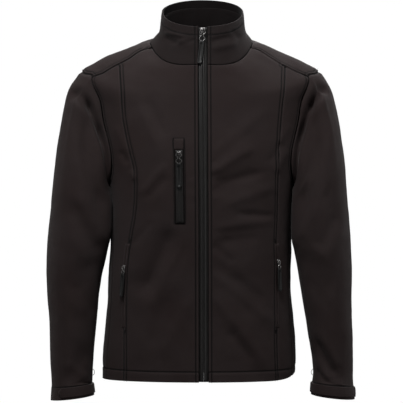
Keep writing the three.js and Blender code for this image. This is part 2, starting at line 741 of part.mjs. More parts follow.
// The lining that shows inside the back of the collar, below the turned top edge
function collarLining() {
  const rises = [0.05, 0.16, 0.36, 0.6, 0.72];
  const trim = 3;
  const thickness = 1.2;
  const top = -COLLAR_THICKNESS - 0.5;
  const face = (lift) =>
    rises.map((rise) => collarAngles(rise).slice(trim, -trim).map((a) => collar(a, rise, lift).point));
  return wall(face(top), face(top - thickness));
}

// The zip's line runs up the body and on up the collar. A place on it is its distance across and its height.
const ZIP_ROWS = [
  ...[-666, -649, -610, -560, -510, -460, -410, -360, -310, -260, -215, -170, -130, -90, -50, -20].map(
    (height) => ({ height }),
  ),
  ...[0, 0.16, 0.36, 0.6, 0.82, 0.96].map((rise) => ({ rise })),
];

function zipPlace(row, across, lift) {
  if (row.rise !== undefined) {
    return collar(ringAngleAt(collarRing(row.rise), across), row.rise, lift).point;
  }
  const side = across < 0 ? RIGHT : LEFT;
  const angle = angleAt(BODY_RINGS.zipX(row.height) + across, row.height, side);
  return body(angle, row.height, lift).point;
}

// Each tape lies behind its front edge. Its inner edge is thicker, where the coil is.
function zipTape(side) {
  const depthBelow = -COLLAR_THICKNESS - 0.6;
  const profile = columns("across top bottom", [
    [SEAM_GAP / 2, -0.4, -2.6],
    [2.4, -0.6, -2.7],
    [4, -1.5, -2.8],
    [7.4, -1.8, -3],
    [8.7, depthBelow, depthBelow - 0.9],
    [ZIP_TAPE_WIDTH, depthBelow, depthBelow - 0.8],
  ]);
  const face = (key) =>
    ZIP_ROWS.map((row) => profile.rows.map((p) => zipPlace(row, side * p.across, p[key])));
  return wall(face("top"), face("bottom"));
}

// A pocket zip: a narrow plate that follows the cloth along a line of places. Each place is an x and a
// height.
function lyingStrip(places, widths, bottomLift, topLift) {
  const face = (lift) =>
    places.map(([x, height]) =>
      widths.map((w) => {
        const side = x < 0 ? RIGHT : LEFT;
        return body(angleAt(x + w, height, side), height, lift).point;
      }),
    );
  return wall(face(topLift), face(bottomLift));
}

// The body's side height at which the front of its ring is at z
function frontHeight(z) {
  let low = HEM_HEIGHT;
  let high = 0;
  for (let i = 0; i < 30; i += 1) {
    const middle = (low + high) / 2;
    if (BODY_RINGS.frontZ(middle) < z) low = middle;
    else high = middle;
  }
  return (low + high) / 2;
}

// The chest pocket's zip, on the wearer's right, with a bonded cloth patch over its upper end. top and bottom
// are heights of the front.
const CHEST_ZIP = { x: -43.5, lean: 2, top: -220, bottom: -361, width: 13.5 };
const CHEST_PATCH = { x: -44, top: -197.5, bottom: -220, width: 18.5 };
const chestX = (z) =>
  CHEST_ZIP.x + (CHEST_ZIP.lean * (CHEST_ZIP.top - z)) / (CHEST_ZIP.top - CHEST_ZIP.bottom);
const thirdsOf = (width) => [-width / 2, -width / 6, width / 6, width / 2];

function chestZip() {
  const places = steps(8).map((t) => {
    const z = lerp(CHEST_ZIP.top - SEAM_GAP, CHEST_ZIP.bottom, t);
    return [chestX(z), frontHeight(z)];
  });
  return lyingStrip(places, thirdsOf(CHEST_ZIP.width), LYING_GAP, LYING_GAP + 1.2);
}

function chestPatch() {
  const places = steps(2).map((t) => [
    CHEST_PATCH.x,
    frontHeight(lerp(CHEST_PATCH.top, CHEST_PATCH.bottom + SEAM_GAP, t)),
  ]);
  return lyingStrip(places, thirdsOf(CHEST_PATCH.width), LYING_GAP, LYING_GAP + 1.4);
}

// The hand pockets' zips lie along the panel seams
const HAND_ZIP = { top: -400, bottom: -566, width: 9 };

function handZip(side) {
  const places = steps(8).map((t) => {
    const height = lerp(HAND_ZIP.top, HAND_ZIP.bottom, t);
    return [side * PANEL_SEAM[side].x(height), height];
  });
  const half = HAND_ZIP.width / 2;
  return lyingStrip(places, [-half, 0, half], LYING_GAP + 0.2, LYING_GAP + 1.2);
}

// Solids that are joined or cut
function solidOf(geometry) {
  const bare = geometry.clone();
  bare.deleteAttribute("normal");
  bare.deleteAttribute("uv");
  const merged = mergeVertices(bare, 1e-4);
  return new wasm.Manifold(
    new wasm.Mesh({
      numProp: 3,
      vertProperties: new Float32Array(merged.getAttribute("position").array),
      triVerts: new Uint32Array(merged.index.array),
    }),
  );
}

function geometryOf(solid) {
  const mesh = solid.getMesh();
  const geometry = new THREE.BufferGeometry();
  geometry.setAttribute("position", new THREE.BufferAttribute(mesh.vertProperties.slice(), 3));
  geometry.setIndex(new THREE.BufferAttribute(mesh.triVerts.slice(), 1));
  return geometry;
}

const join = (...parts) => geometryOf(parts.map(solidOf).reduce((a, b) => a.add(b)));
const cut = (geometry, hole) => geometryOf(solidOf(geometry).subtract(solidOf(hole)));
const block = (w, d, h, x, y, z) => new THREE.BoxGeometry(w, d, h).translate(x, y, z);
const rod = (radius, length, y, z, sides = 14) =>
  new THREE.CylinderGeometry(radius, radius, length, sides).rotateZ(Math.PI / 2).translate(0, y, z);

// An outline in the zip's plane, x across and z along, given thickness out of the cloth from one y to another
function plate(points, near, far) {
  const shape = new THREE.Shape(points.map(([x, z]) => new THREE.Vector2(x, z)));
  const geometry = new THREE.ExtrudeGeometry(shape, {
    depth: Math.abs(far - near),
    bevelEnabled: false,
  });
  return geometry.rotateX(Math.PI / 2).translate(0, Math.max(near, far), 0);
}

// A zip slider stands in its own frame: z up the zip, -y out of the cloth, the pull's pin at the origin.
// floor is how far behind the pin the slider's back lies.
const PIN_RADIUS = 0.6;
const EYE = { radius: 1.7, hole: 0.95, width: 2.4 };
const PIN_STANDOFF = 2.2; // from the pin to the slider's front face

function slider(width, height, floor) {
  const half = width / 2;
  const waist = half * 0.72;
  const outline = [
    [-waist, -height * 0.62],
    [waist, -height * 0.62],
    [waist, -height * 0.1],
    [half, height * 0.16],
    [half, height * 0.38],
    [0, height * 0.24],
    [-half, height * 0.38],
    [-half, height * 0.16],
    [-waist, -height * 0.1],
  ];
  const shell = plate(outline, PIN_STANDOFF, floor);
  const earX = EYE.width / 2 + 0.7;
  const earDepth = PIN_STANDOFF + 1.4;
  const ears = [-earX, earX].map((x) => block(0.8, earDepth, 3.2, x, earDepth / 2 - 1, 0));
  return join(shell, ...ears, rod(PIN_RADIUS, 2 * earX, 0, 0, 10));
}

// A pull hangs from the pin: an eye, a wire loop and a flat grip with round ends, made as one
const PULL_THICKNESS = 2.4;
const NECK = { half: 1.1, top: -1, bottom: -4.5 };
const WIRE = 1.7;

// A flat bar with round ends, hanging from top to bottom, with a hole of the same shape if wire is given
function roundBar(width, top, bottom, wire = 0) {
  const capsule = (half, high, low) => {
    const end = (middle, from) =>
      steps(6).map((t) => {
        const a = from + Math.PI * t;
        return new THREE.Vector2(half * Math.cos(a), middle + half * Math.sin(a));
      });
    return [...end(high - half, 0), ...end(low + half, Math.PI)];
  };
  const shape = new THREE.Shape(capsule(width / 2, top, bottom));
  if (wire > 0) shape.holes.push(new THREE.Path(capsule(width / 2 - wire, top - wire, bottom + wire)));
  const flat = new THREE.ExtrudeGeometry(shape, { depth: PULL_THICKNESS, bevelEnabled: false });
  return flat.rotateX(Math.PI / 2).translate(0, PULL_THICKNESS / 2, 0);
}

function pull({ link, linkWidth, grip, gripWidth }) {
  const eye = rod(EYE.radius, EYE.width, 0, 0);
  const neck = block(
    2 * NECK.half,
    PULL_THICKNESS - 0.4,
    NECK.top - NECK.bottom,
    0,
    0,
    (NECK.top + NECK.bottom) / 2,
  );
  const loop = roundBar(linkWidth, NECK.bottom + 1.2, -link - 2, WIRE);
  const tab = roundBar(gripWidth, -link, -link - grip);
  return cut(join(eye, neck, loop, tab), rod(EYE.hole, EYE.width + 2, 0, 0));
}

// A material for each finish, in the colours of the jacket
const finish = (colour, roughness, metalness = 0) =>
  new THREE.MeshStandardMaterial({ color: colour, roughness, metalness });
const SHELL = finish(0x221e1f, 0.85);
const LINING = finish(0x2c2a2b, 0.95);
const TAPE = finish(0x2e2d2d, 0.6);
const METAL = finish(0x4a4a4c, 0.35, 0.9);
const GRIP = finish(0x242324, 0.55);

const jacket = new THREE.Group();

function add(name, geometry, material) {
  const mesh = new THREE.Mesh(geometry, material);
  mesh.name = name;
  jacket.add(mesh);
  return mesh;
}

// Sets a slider, or a pull on its pin, on the cloth: its pin stands off one place and it lies towards another
function place(mesh, pin, end, standoff, endStandoff = standoff) {
  const from = pin.point.clone().addScaledVector(pin.out, standoff);
  const to = end.point.clone().addScaledVector(end.out, endStandoff);
  const up = from.clone().sub(to).normalize();
  const behind = pin.out.clone().addScaledVector(up, -pin.out.dot(up)).normalize().negate();
  const across = behind.clone().cross(up);
  mesh.quaternion.setFromRotationMatrix(new THREE.Matrix4().makeBasis(across, behind, up));
  mesh.position.copy(from);
  return mesh;
}

// The body panels
const PANEL_SIDES = { first: true, last: true, top: true };
for (const [side, name] of [
  [RIGHT, "right"],
  [LEFT, "left"],
]) {
  const edgeSides = { last: true, top: true };
  add(`front_${name}`, panelSolid(frontPanel(side), edgeSides), SHELL);
  add(`side_front_${name}`, panelSolid(sidePanel(side), PANEL_SIDES), SHELL);
  add(`sleeve_${name}`, sleeveSolid(side), SHELL);
  add(`cuff_tab_${name}`, cuffTab(side), SHELL);
  add(`zip_tape_${name}`, zipTape(side), TAPE);
  add(`hand_zip_${name}`, handZip(side), TAPE);
}
add("back", panelSolid(backPanel(), PANEL_SIDES), SHELL);
add("collar", collarSolid(), SHELL);
add("collar_lining", collarLining(), LINING);
add("chest_zip", chestZip(), TAPE);
add("chest_patch", chestPatch(), SHELL);

// The zips' sliders and pulls. Each pin stands off the cloth, and each pull hangs towards a place below it.
const FRONT_ZIP = { width: 10.5, height: 15, floor: 3.4, standoff: 4.2 };
const FRONT_PULL = { link: 20.6, linkWidth: 12.6, grip: 48, gripWidth: 9.2 };
const collarFront = (rise) => collar(0, rise);
const frontPin = collarFront(0.86);
place(
  add("front_slider", slider(FRONT_ZIP.width, FRONT_ZIP.height, FRONT_ZIP.floor), METAL),
  frontPin,
  collarFront(0.76),
  FRONT_ZIP.standoff,
);
place(
  add("front_pull", pull(FRONT_PULL), GRIP),
  frontPin,
  { point: collarFront(0.05).point.add(new THREE.Vector3(-6, 0, 0)), out: frontPin.out },
  FRONT_ZIP.standoff,
  2.4,
);

const POCKET_ZIP = { width: 8, height: 12, floor: 3.3, standoff: 5.4 };
const CHEST_PULL = { link: 18, linkWidth: 13, grip: 49, gripWidth: 10.4 };
const HAND_PULL = { link: 12, linkWidth: 9, grip: 47, gripWidth: 9.4 };
const chestPlace = (z) => body(angleAt(chestX(z), frontHeight(z), RIGHT), frontHeight(z));
const chestPinZ = CHEST_ZIP.top - 7;
const chestPin = chestPlace(chestPinZ);
place(
  add("chest_slider", slider(POCKET_ZIP.width, POCKET_ZIP.height, POCKET_ZIP.floor), METAL),
  chestPin,
  chestPlace(chestPinZ - 6),
  POCKET_ZIP.standoff,
);
place(
  add("chest_pull", pull(CHEST_PULL), GRIP),
  chestPin,
  chestPlace(chestPinZ - CHEST_PULL.link - CHEST_PULL.grip),
  POCKET_ZIP.standoff,
);

const HAND_PIN_HEIGHT = { [RIGHT]: -446, [LEFT]: -435 };
const handPlace = (side, height, across = 0) =>
  body(angleAt(side * PANEL_SEAM[side].x(height) + across, height, side), height);
for (const [side, name] of [
  [RIGHT, "right"],
  [LEFT, "left"],
]) {
  const pin = handPlace(side, HAND_PIN_HEIGHT[side]);
  place(
    add(`hand_slider_${name}`, slider(7, 11, POCKET_ZIP.floor), METAL),
    pin,
    handPlace(side, HAND_PIN_HEIGHT[side] - 6),
    POCKET_ZIP.standoff,
  );
  place(
    add(`hand_pull_${name}`, pull(HAND_PULL), GRIP),
    pin,
    handPlace(side, HAND_PIN_HEIGHT[side] - HAND_PULL.link - HAND_PULL.grip, side * 2),
    POCKET_ZIP.standoff,
  );
}

export default jacket;
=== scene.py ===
"""A black softshell jacket as it is worn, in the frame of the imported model. Lengths are in millimetres
until a mesh is made. The front faces -Y and the wearer's left side is +X."""

import math

import bmesh
import bpy
import numpy as np
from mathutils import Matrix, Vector, noise
from mathutils.bvhtree import BVHTree
from mathutils.kdtree import KDTree


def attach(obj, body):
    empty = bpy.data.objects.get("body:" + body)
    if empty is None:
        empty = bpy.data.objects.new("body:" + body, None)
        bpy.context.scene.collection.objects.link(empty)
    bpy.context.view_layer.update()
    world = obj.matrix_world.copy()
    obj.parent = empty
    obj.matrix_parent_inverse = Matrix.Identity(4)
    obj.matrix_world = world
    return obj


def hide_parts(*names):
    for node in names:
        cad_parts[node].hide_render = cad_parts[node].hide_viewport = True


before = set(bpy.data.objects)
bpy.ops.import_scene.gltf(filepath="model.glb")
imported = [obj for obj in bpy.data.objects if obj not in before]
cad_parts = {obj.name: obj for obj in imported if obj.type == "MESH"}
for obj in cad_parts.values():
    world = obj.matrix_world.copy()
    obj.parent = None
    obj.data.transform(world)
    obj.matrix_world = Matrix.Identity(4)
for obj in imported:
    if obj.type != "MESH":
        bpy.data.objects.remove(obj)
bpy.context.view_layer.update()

# Driving dimensions
CLOTH = 1.7  # one layer of bonded cloth
HEM_HEIGHT = -670
HEM_TURN = 22
ZIP_OPENING = 18.4
COLLAR_THICKNESS = 3.2
RIGHT = -1
LEFT = 1
NAMES = {RIGHT: "right", LEFT: "left"}
BAND_RISE = 0.74  # of the stitching round the collar
CHEST_TOP = -197.2
CHEST_BOTTOM = -362.5
CHEST_ZIP_TOP = -220
CHEST_ZIP_BOTTOM = -361
CHEST_ZIP_X = -43.5
CHEST_ZIP_LEAN = 2  # how far it leans over its length
CHEST_STITCHED = 11.2  # from the middle of the chest pocket to the stitching beside it
EDGE_STITCHED = 6.2  # from the zip edges of the fronts and collar to their stitching
MM = 0.001


def smooth(at, values):
    """A curve through the values that never swings past them."""
    at = np.asarray(at, float)
    values = np.asarray(values, float)
    step = np.diff(at)
    rate = np.diff(values) / step
    slope = np.zeros_like(values)
    slope[0] = rate[0]
    slope[-1] = rate[-1]
    for i in range(1, len(at) - 1):
        if rate[i - 1] * rate[i] > 0:
            before = 2 * step[i] + step[i - 1]
            after = step[i] + 2 * step[i - 1]
            slope[i] = (before + after) / (before / rate[i - 1] + after / rate[i])

    def value(t):
        t = np.clip(np.asarray(t, float), at[0], at[-1])
        i = np.clip(np.searchsorted(at, t, side="right") - 1, 0, len(step) - 1)
        h = step[i]
        u = (t - at[i]) / h
        keep = 1 - u
        return (
            values[i] * (1 + 2 * u) * keep * keep
            + slope[i] * h * u * keep * keep
            + values[i + 1] * u * u * (3 - 2 * u)
            - slope[i + 1] * h * u * u * keep
        )

    return value


def table(names, rows):
    """Rows under named columns."""
    keys = names.split()
    return [dict(zip(keys, row)) for row in rows]


def columns(names, rows):
    """Named columns, each a smooth function of the first one."""
    order = sorted(rows)
    at = [row[0] for row in order]
    made = {}
    for i, key in enumerate(names.split()[1:], 1):
        made[key] = smooth(at, [row[i] for row in order])
    return made


# Rings of the body, from the neck seam down to the hem. raised lifts the wearer's left side of a ring.
BODY_RINGS = columns(
    "height frontZ backZ right left frontY backY square zipX raised",
    [
        [0, -53, 22, 104, 103, 92, 64, 2.1, 2.5, 0],
        [-5, -58, 17, 129, 123, 93.5, 67, 2.08, 2.5, 0],
        [-13, -66, 8, 151, 142, 95.5, 72, 2.05, 2.5, 0],
        [-22, -76, -3, 173, 163, 97.5, 78, 2.02, 2.5, 0],
        [-31, -85, -13, 194, 184, 99.5, 83, 2, 2.6, 0],
        [-42, -95, -26, 213, 206, 101.5, 88, 2, 2.6, 0],
        [-60, -112, -44, 239.5, 234, 105, 94, 2.02, 2.7, 0],
        [-100, -146, -90, 223, 219, 111, 104, 2.1, 2.8, 0],
        [-150, -186, -144, 211, 208, 116.5, 111, 2.2, 3, 0],
        [-210, -231, -206, 200, 198, 121.5, 115, 2.3, 3.1, 0],
        [-255, -268, -252, 191, 190, 123.5, 114.5, 2.35, 3.3, 0],
        [-291, -298, -289, 186, 185, 124, 112, 2.38, 3.5, 0],
        [-340, -344, -339, 182, 181, 123, 107, 2.4, 3.8, 0],
        [-400, -402, -400, 182, 179, 121, 103, 2.4, 4, 0],
        [-480, -480, -480, 186, 178, 118, 101, 2.4, 4.1, 0],
        [-560, -560, -560, 190.5, 184, 116, 106, 2.38, 4.2, 3],
        [-640, -639, -641, 197, 188.5, 117, 111, 2.35, 4.3, 9],
        [-670, -668, -672, 196.5, 186, 117.5, 112.5, 2.35, 4.4, 13],
    ],
)

# The collar's rings, from just above the neck seam to the top edge. At level 1 a ring lies in one plane.
COLLAR_RINGS = columns(
    "rise sideZ frontZ backZ right left frontY backY square level",
    [
        [0, 0.35, -52.6, 22.35, 104, 103, 92, 64, 2.1, 0],
        [0.16, 8, -39, 36, 96, 98, 87.5, 63, 2.1, 0.25],
        [0.36, 18.5, -23, 50, 86, 90, 83.5, 64, 2.15, 0.5],
        [0.6, 36, -4.5, 67, 82.5, 86.5, 79, 66.5, 2.2, 0.8],
        [0.82, 51, 12, 82, 80.5, 85, 76, 69, 2.2, 0.95],
        [1, 61, 23.5, 92, 78.5, 83, 74.5, 71, 2.2, 1],
    ],
)

# The armhole, from the shoulder tip down its front to the underarm and up its back
ARMHOLE = table(
    "turn angle height",
    [
        [0, 90, -60],
        [1, 77, -58.5],
        [2, 66, -56],
        [3, 63.5, -100],
        [4, 64.5, -150],
        [5, 61.5, -210],
        [6, 65.5, -253],
        [7, 76, -281],
        [8, 90, -291],
        [9, 104, -281],
        [10, 115, -253],
        [11, 119, -208],
        [12, 118, -150],
        [13, 117, -100],
        [14, 112, -67],
        [15, 101, -60.5],
    ],
)
ARMHOLE_TURNS = len(ARMHOLE)
SIDE_SEAM_TURN = 7
SHOULDER_SEAM_TURN = 2

# The side seam lies a little forward of the side
SIDE_SEAM = columns("height angle", [[-281, 76], [-400, 72], [-500, 70], [-670, 70]])

# The shoulder seam runs from the neck to the armhole, forward of the shoulder's ridge
SHOULDER_SEAM = {
    RIGHT: columns("height angle", [[0, 70.5], [-18.5, 64], [-41, 63.5], [-56, 66]]),
    LEFT: columns("height angle", [[0, 70.5], [-14, 66], [-31, 64], [-56, 66]]),
}
PANEL_SEAM_SHARE = {RIGHT: 0.47, LEFT: 0.5}

# The panel seam down each front, measured outwards from the middle of the body
PANEL_SEAM = {
    RIGHT: columns(
        "height x",
        [
            [-26, 162],
            [-60, 157.5],
            [-112, 155],
            [-165, 147.5],
            [-206, 140],
            [-258, 131],
            [-301, 131],
            [-342, 134],
            [-375, 139.5],
            [-418, 146],
            [-490, 151],
            [-567, 152],
            [-670, 152],
        ],
    ),
    LEFT: columns(
        "height x",
        [
            [-26, 166],
            [-71, 161],
            [-123, 156.5],
            [-185, 152.5],
            [-229, 151],
            [-298, 149],
            [-342, 148.5],
            [-399, 146.5],
            [-446, 148],
            [-590, 148],
            [-670, 150],
        ],
    ),
}

# Rings of each sleeve, from the armhole to the sleeve's end, by the outer and inner points as seen from the
# front, the half depth and the Y of the middle. armhole is how much of the armhole's own shape is left.
SLEEVE_RINGS = {
    RIGHT: columns(
        "ring outerX outerZ innerX innerZ depth midY armhole",
        [
            [0, 239.5, -60, 186, -291, 58, 0, 1],
            [1, 251.6, -76, 187.4, -299, 60, -4, 0.8],
            [2, 264.3, -97, 186.7, -305, 61.5, -9, 0.6],
            [3, 273.8, -133, 185.2, -313, 62.5, -16, 0.42],
            [4, 281.2, -178, 183.3, -324, 63, -23, 0.28],
            [5, 288.6, -232, 182.2, -340, 62.5, -28, 0.16],
            [6, 295.2, -290, 181.4, -362, 61.5, -31, 0.07],
            [7, 301, -350, 181.5, -390, 60.5, -33, 0.02],
            [8, 304.8, -405, 187, -422, 59, -34, 0],
            [9, 305.8, -455, 195.5, -460, 57, -35, 0],
            [10, 304.2, -505, 202, -503, 54, -35, 0],
            [11, 302, -550, 207, -548, 51, -35, 0],
            [12, 300.2, -595, 211, -592, 48, -36, 0],
            [13, 298.4, -635, 213.5, -630, 45.5, -37, 0],
            [14, 296.6, -662, 215, -656, 44, -38, 0],
            [15, 296, -681, 215.6, -673, 43.5, -39, 0],
            [16, 296, -684, 215.6, -676, 43.5, -39, 0],
            [17, 297.2, -710, 212.2, -700, 43, -41, 0],
        ],
    ),
    LEFT: columns(
        "ring outerX outerZ innerX innerZ depth midY armhole",
        [
            [0, 234, -60, 185, -291, 58, 0, 1],
            [1, 246.6, -74, 186.9, -299, 60, -4, 0.8],
            [2, 258.3, -96, 186.1, -305, 61.5, -9, 0.6],
            [3, 267.8, -130, 184.3, -313, 62, -16, 0.42],
            [4, 275.2, -172, 182.2, -324, 62, -23, 0.28],
            [5, 280.7, -222, 181.2, -340, 61.5, -28, 0.16],
            [6, 286.2, -282, 180.4, -362, 60.5, -31, 0.07],
            [7, 291, -345, 179.4, -390, 59, -33, 0.02],
            [8, 295.3, -402, 184.3, -420, 57.5, -34, 0],
            [9, 296.8, -455, 190.5, -460, 55, -35, 0],
            [10, 296.6, -505, 198, -503, 52, -35, 0],
            [11, 297.8, -550, 206, -548, 49, -35, 0],
            [12, 298.2, -595, 213, -592, 46, -36, 0],
            [13, 299.3, -635, 218.7, -630, 43.5, -37, 0],
            [14, 299, -662, 219.8, -656, 42.5, -38, 0],
            [15, 299.5, -679, 218.4, -671, 43, -39, 0],
            [16, 300, -682, 217.9, -674, 43.5, -39, 0],
            [17, 302, -708, 216.3, -699, 44, -41, 0],
        ],
    ),
}
CUFF_RING = 16
LAST_RING = 17
SLEEVE_TURNS = 32  # round a sleeve, two to each turn of the armhole

# Folds of the body, drawn on the front view. Each is a soft trough (minus) or ridge (plus) between two
# points, as wide as it says to each side, and fades to nothing at its ends.
FRONT_FOLDS = table(
    "x1 z1 x2 z2 width height",
    [
        [-122, -140, -75, -235, 20, 2.6],
        [-60, -372, -112, -500, 19, -4.2],
        [-95, -350, -134, -470, 17, 2.6],
        [-55, -440, -125, -620, 24, 3],
        [22, -268, 92, -208, 15, 3.4],
        [26, -300, 110, -262, 17, -3.2],
        [30, -395, 112, -380, 17, -3.4],
        [30, -438, 108, -540, 18, -3.8],
        [38, -492, 128, -655, 22, 3.2],
        [58, -560, 112, -668, 15, -2.6],
    ],
)
BACK_FOLDS = table(
    "x1 z1 x2 z2 width height",
    [
        [-132, -290, -40, -215, 24, -3],
        [130, -290, 46, -225, 24, -3],
        [-120, -376, -20, -450, 26, -3.2],
        [118, -366, 30, -440, 24, -3],
        [-70, -520, -110, -665, 24, 3.2],
        [66, -510, 120, -665, 26, 3.2],
        [-8, -540, 6, -668, 22, 2.4],
    ],
)
# Finer folds and creases over the large folds, in the same columns
FRONT_CREASES = table(
    "x1 z1 x2 z2 width height",
    [
        [20, -230, 136, -133, 11, 1.9],
        [18, -262, 103, -214, 7, 1.7],
        [27, -284, 124, -262, 8, -2.1],
        [45, -326, 142, -289, 10, 2.2],
        [66, -343, 140, -347, 7, -3.1],
        [24, -370, 132, -357, 8, 1.8],
        [20, -402, 62, -436, 8, -2.3],
        [22, -389, 112, -378, 7, 1.4],
        [62, -462, 124, -511, 9, -2.1],
        [20, -454, 141, -557, 10, 2.9],
        [22, -500, 70, -566, 9, 1.9],
        [54, -570, 98, -626, 9, -2.2],
        [70, -560, 128, -640, 10, 1.7],
        [-105, -123, -70, -191, 9, -1.8],
        [-122, -129, -84, -216, 8, 1.6],
        [-118, -306, -70, -249, 8, 2.3],
        [-107, -316, -66, -272, 8, -2],
        [-95, -358, -136, -405, 7, -2],
        [-45, -416, -103, -532, 9, 1.7],
        [-70, -508, -103, -605, 12, -2.4],
        [-18, -501, -76, -614, 12, 2],
        [-60, -378, -110, -496, 14, -4.4],
        [-24, -400, -60, -470, 9, -1.3],
        [-147, -243, -128, -278, 7, 2.2],
        [-159, -220, -136, -262, 7, -2.3],
        [-168, -172, -142, -226, 8, 2],
        [167, -218, 145, -262, 8, 2],
        [158, -204, 132, -244, 7, -1.7],
        [172, -168, 150, -206, 8, 1.6],
    ],
)


def zip_puckers(count=6):
    """Short puckers on both sides of the zip, turn about down and up."""
    made = []
    for i in range(count):
        z = -246 - 13.5 * i - 2.5 * (i % 2)
        reach = 18 + 9 * ((i * 5) % 4)
        up = 0.5 if i % 2 else -0.6
        made.append([13, z, 13 + reach, z + 0.28 * reach, 3.6, 1.4 * up])
        made.append([-9, z - 6, -9 - 0.55 * reach, z - 8, 3.4, -1.1 * up])
    return table("x1 z1 x2 z2 width height", made)


FRONT_CREASES += zip_puckers()
BACK_CREASES = table(
    "x1 z1 x2 z2 width height",
    [
        [-150, -255, -96, -205, 9, 1.6],
        [148, -250, 92, -212, 9, 1.5],
        [-138, -300, -70, -262, 9, -1.6],
        [134, -312, 60, -268, 10, -1.8],
        [-60, -300, 30, -322, 9, 1.2],
        [-132, -352, -52, -340, 8, 1.4],
        [126, -366, 38, -346, 9, 1.5],
        [-110, -410, -30, -432, 9, -1.8],
        [24, -420, 108, -398, 9, 1.3],
        [-24, -470, -100, -560, 10, 1.8],
        [30, -460, 118, -556, 10, 2],
        [56, -540, 96, -640, 9, -1.8],
        [-52, -556, -92, -650, 10, -1.6],
        [-40, -110, -110, -150, 12, 1],
        [50, -120, 118, -156, 12, 1],
    ],
)
COLLAR_CREASES = table(
    "x1 z1 x2 z2 width height",
    [
        [-72, 15, -34, 3, 4, 3.2],
        [-74, 5, -44, -14, 6, -4.2],
        [-56, -15, -30, -2, 5, 2.7],
        [-30, -8, -12, -3, 4, -1.6],
        [16, -8, 62, 6, 6, -3.4],
        [20, -22, 70, -9, 7, 2.6],
        [60, 16, 78, 2, 6, -2.1],
    ],
)
# Folds of the sleeves, drawn on the unrolled sleeve: turn 0 at the outside, 8 at the front, 16 inside
SLEEVE_FOLDS = table(
    "ring1 turn1 ring2 turn2 ringWidth turnWidth height",
    [
        [2.1, 5.4, 5.2, 12.6, 1.15, 1.5, -9],
        [2.1, 26.6, 5.2, 19.4, 1.15, 1.5, -6],
        [8.2, 12.8, 9.8, 7.2, 0.62, 2.2, -3.2],
        [9.2, 18.8, 10.6, 24, 0.62, 2.2, -3],
        [12.2, 12.2, 14.6, 6.6, 0.6, 1.8, -2.6],
    ],
)
# Finer folds of each sleeve, in the same columns
SLEEVE_CREASES = {
    RIGHT: table(
        "ring1 turn1 ring2 turn2 ringWidth turnWidth height",
        [
            [6.1, 6.4, 8, 12.6, 0.4, 1.5, -3.6],
            [5.5, 7.6, 7.3, 13, 0.42, 1.4, 2.4],
            [6.9, 5.6, 8.6, 11, 0.4, 1.4, 2],
            [1.2, 3, 3.2, 7.2, 0.5, 1.3, 2.6],
            [9.4, 9, 10.8, 13.4, 0.32, 1.3, -1.8],
            [10.6, 5, 12.2, 10.5, 0.34, 1.4, 1.4],
            [12.9, 7, 14.4, 12.4, 0.3, 1.2, 1.4],
            [14.6, 10, 15.5, 14, 0.25, 1.2, -1.6],
            [4.4, 20, 7.2, 26, 0.42, 1.6, -2.8],
            [6.4, 18.5, 8.6, 24, 0.4, 1.5, 2.2],
            [11.4, 20, 13, 26, 0.36, 1.5, -1.8],
            [3.4, 29, 5.4, 25, 0.5, 1.6, 1.6],
            [2.2, 2.2, 1.1, 6.2, 0.38, 0.85, -11],
            [1.3, 5.2, 0.6, 9, 0.32, 0.85, -13],
            [0.6, 8, 1.3, 13.6, 0.42, 1.1, -11],
            [2.7, 2.6, 1.5, 6.6, 0.4, 0.9, 2.6],
            [0.7, 14.1, 7.7, 14.1, 0.6, 1.4, 8],
            [0.3, -2, 0.3, 5.5, 0.4, 1.5, 1.3],
            [0.3, 34, 0.3, 26.5, 0.4, 1.5, 1.3],
            [1.9, 30, 0.9, 26, 0.4, 0.9, -6],
            [1.1, 26.6, 0.6, 22.6, 0.35, 0.9, -5],
        ],
    ),
    LEFT: table(
        "ring1 turn1 ring2 turn2 ringWidth turnWidth height",
        [
            [5.7, 6.9, 7.1, 5, 0.4, 1.3, -2.6],
            [6.9, 4.8, 7.9, 9.4, 0.36, 1.4, -3],
            [7.3, 4, 8.5, 8.8, 0.36, 1.3, 2.2],
            [5.9, 8.2, 7.2, 12.4, 0.4, 1.4, 2],
            [1.2, 3, 3.2, 7.2, 0.5, 1.3, 2.6],
            [3.6, 11.4, 4.8, 8.8, 0.3, 1.2, 1.9],
            [9.2, 12.4, 10.6, 8, 0.34, 1.3, -1.8],
            [11.5, 11.2, 13.3, 6.8, 0.34, 1.3, 2.4],
            [11.9, 12.6, 13.9, 7.8, 0.32, 1.2, -3.8],
            [12.8, 13, 14.4, 9.2, 0.28, 1.1, 2],
            [13.6, 13.2, 15, 9.4, 0.26, 1.1, -2.8],
            [14.3, 8.4, 15.4, 5.2, 0.3, 1.3, 1.2],
            [4.6, 20, 7, 26.4, 0.42, 1.6, -2.6],
            [6.6, 18.4, 8.4, 24, 0.4, 1.5, 2.2],
            [12, 19.4, 13.8, 25, 0.34, 1.5, -2.2],
            [1.85, 2.2, 0.95, 6.2, 0.38, 0.85, -11],
            [1.15, 5, 0.45, 8.8, 0.32, 0.85, -13],
            [0.55, 8, 1.3, 13.6, 0.42, 1.1, -11],
            [2.4, 2.8, 1.4, 6.4, 0.4, 0.9, 2.4],
            [0.7, 14.1, 7.7, 14.1, 0.6, 1.4, 7],
            [0.3, -2, 0.3, 5.5, 0.4, 1.5, 1.3],
            [0.3, 34, 0.3, 26.5, 0.4, 1.5, 1.3],
            [2, 29.6, 1, 26.2, 0.4, 0.9, -6],
            [1.2, 26.8, 0.5, 23, 0.35, 0.9, -5],
        ],
    ),
}


def lerp(a, b, t):
    return a + (b - a) * t


def ease(t):
    u = np.clip(t, 0, 1)
    return u * u * (3 - 2 * u)


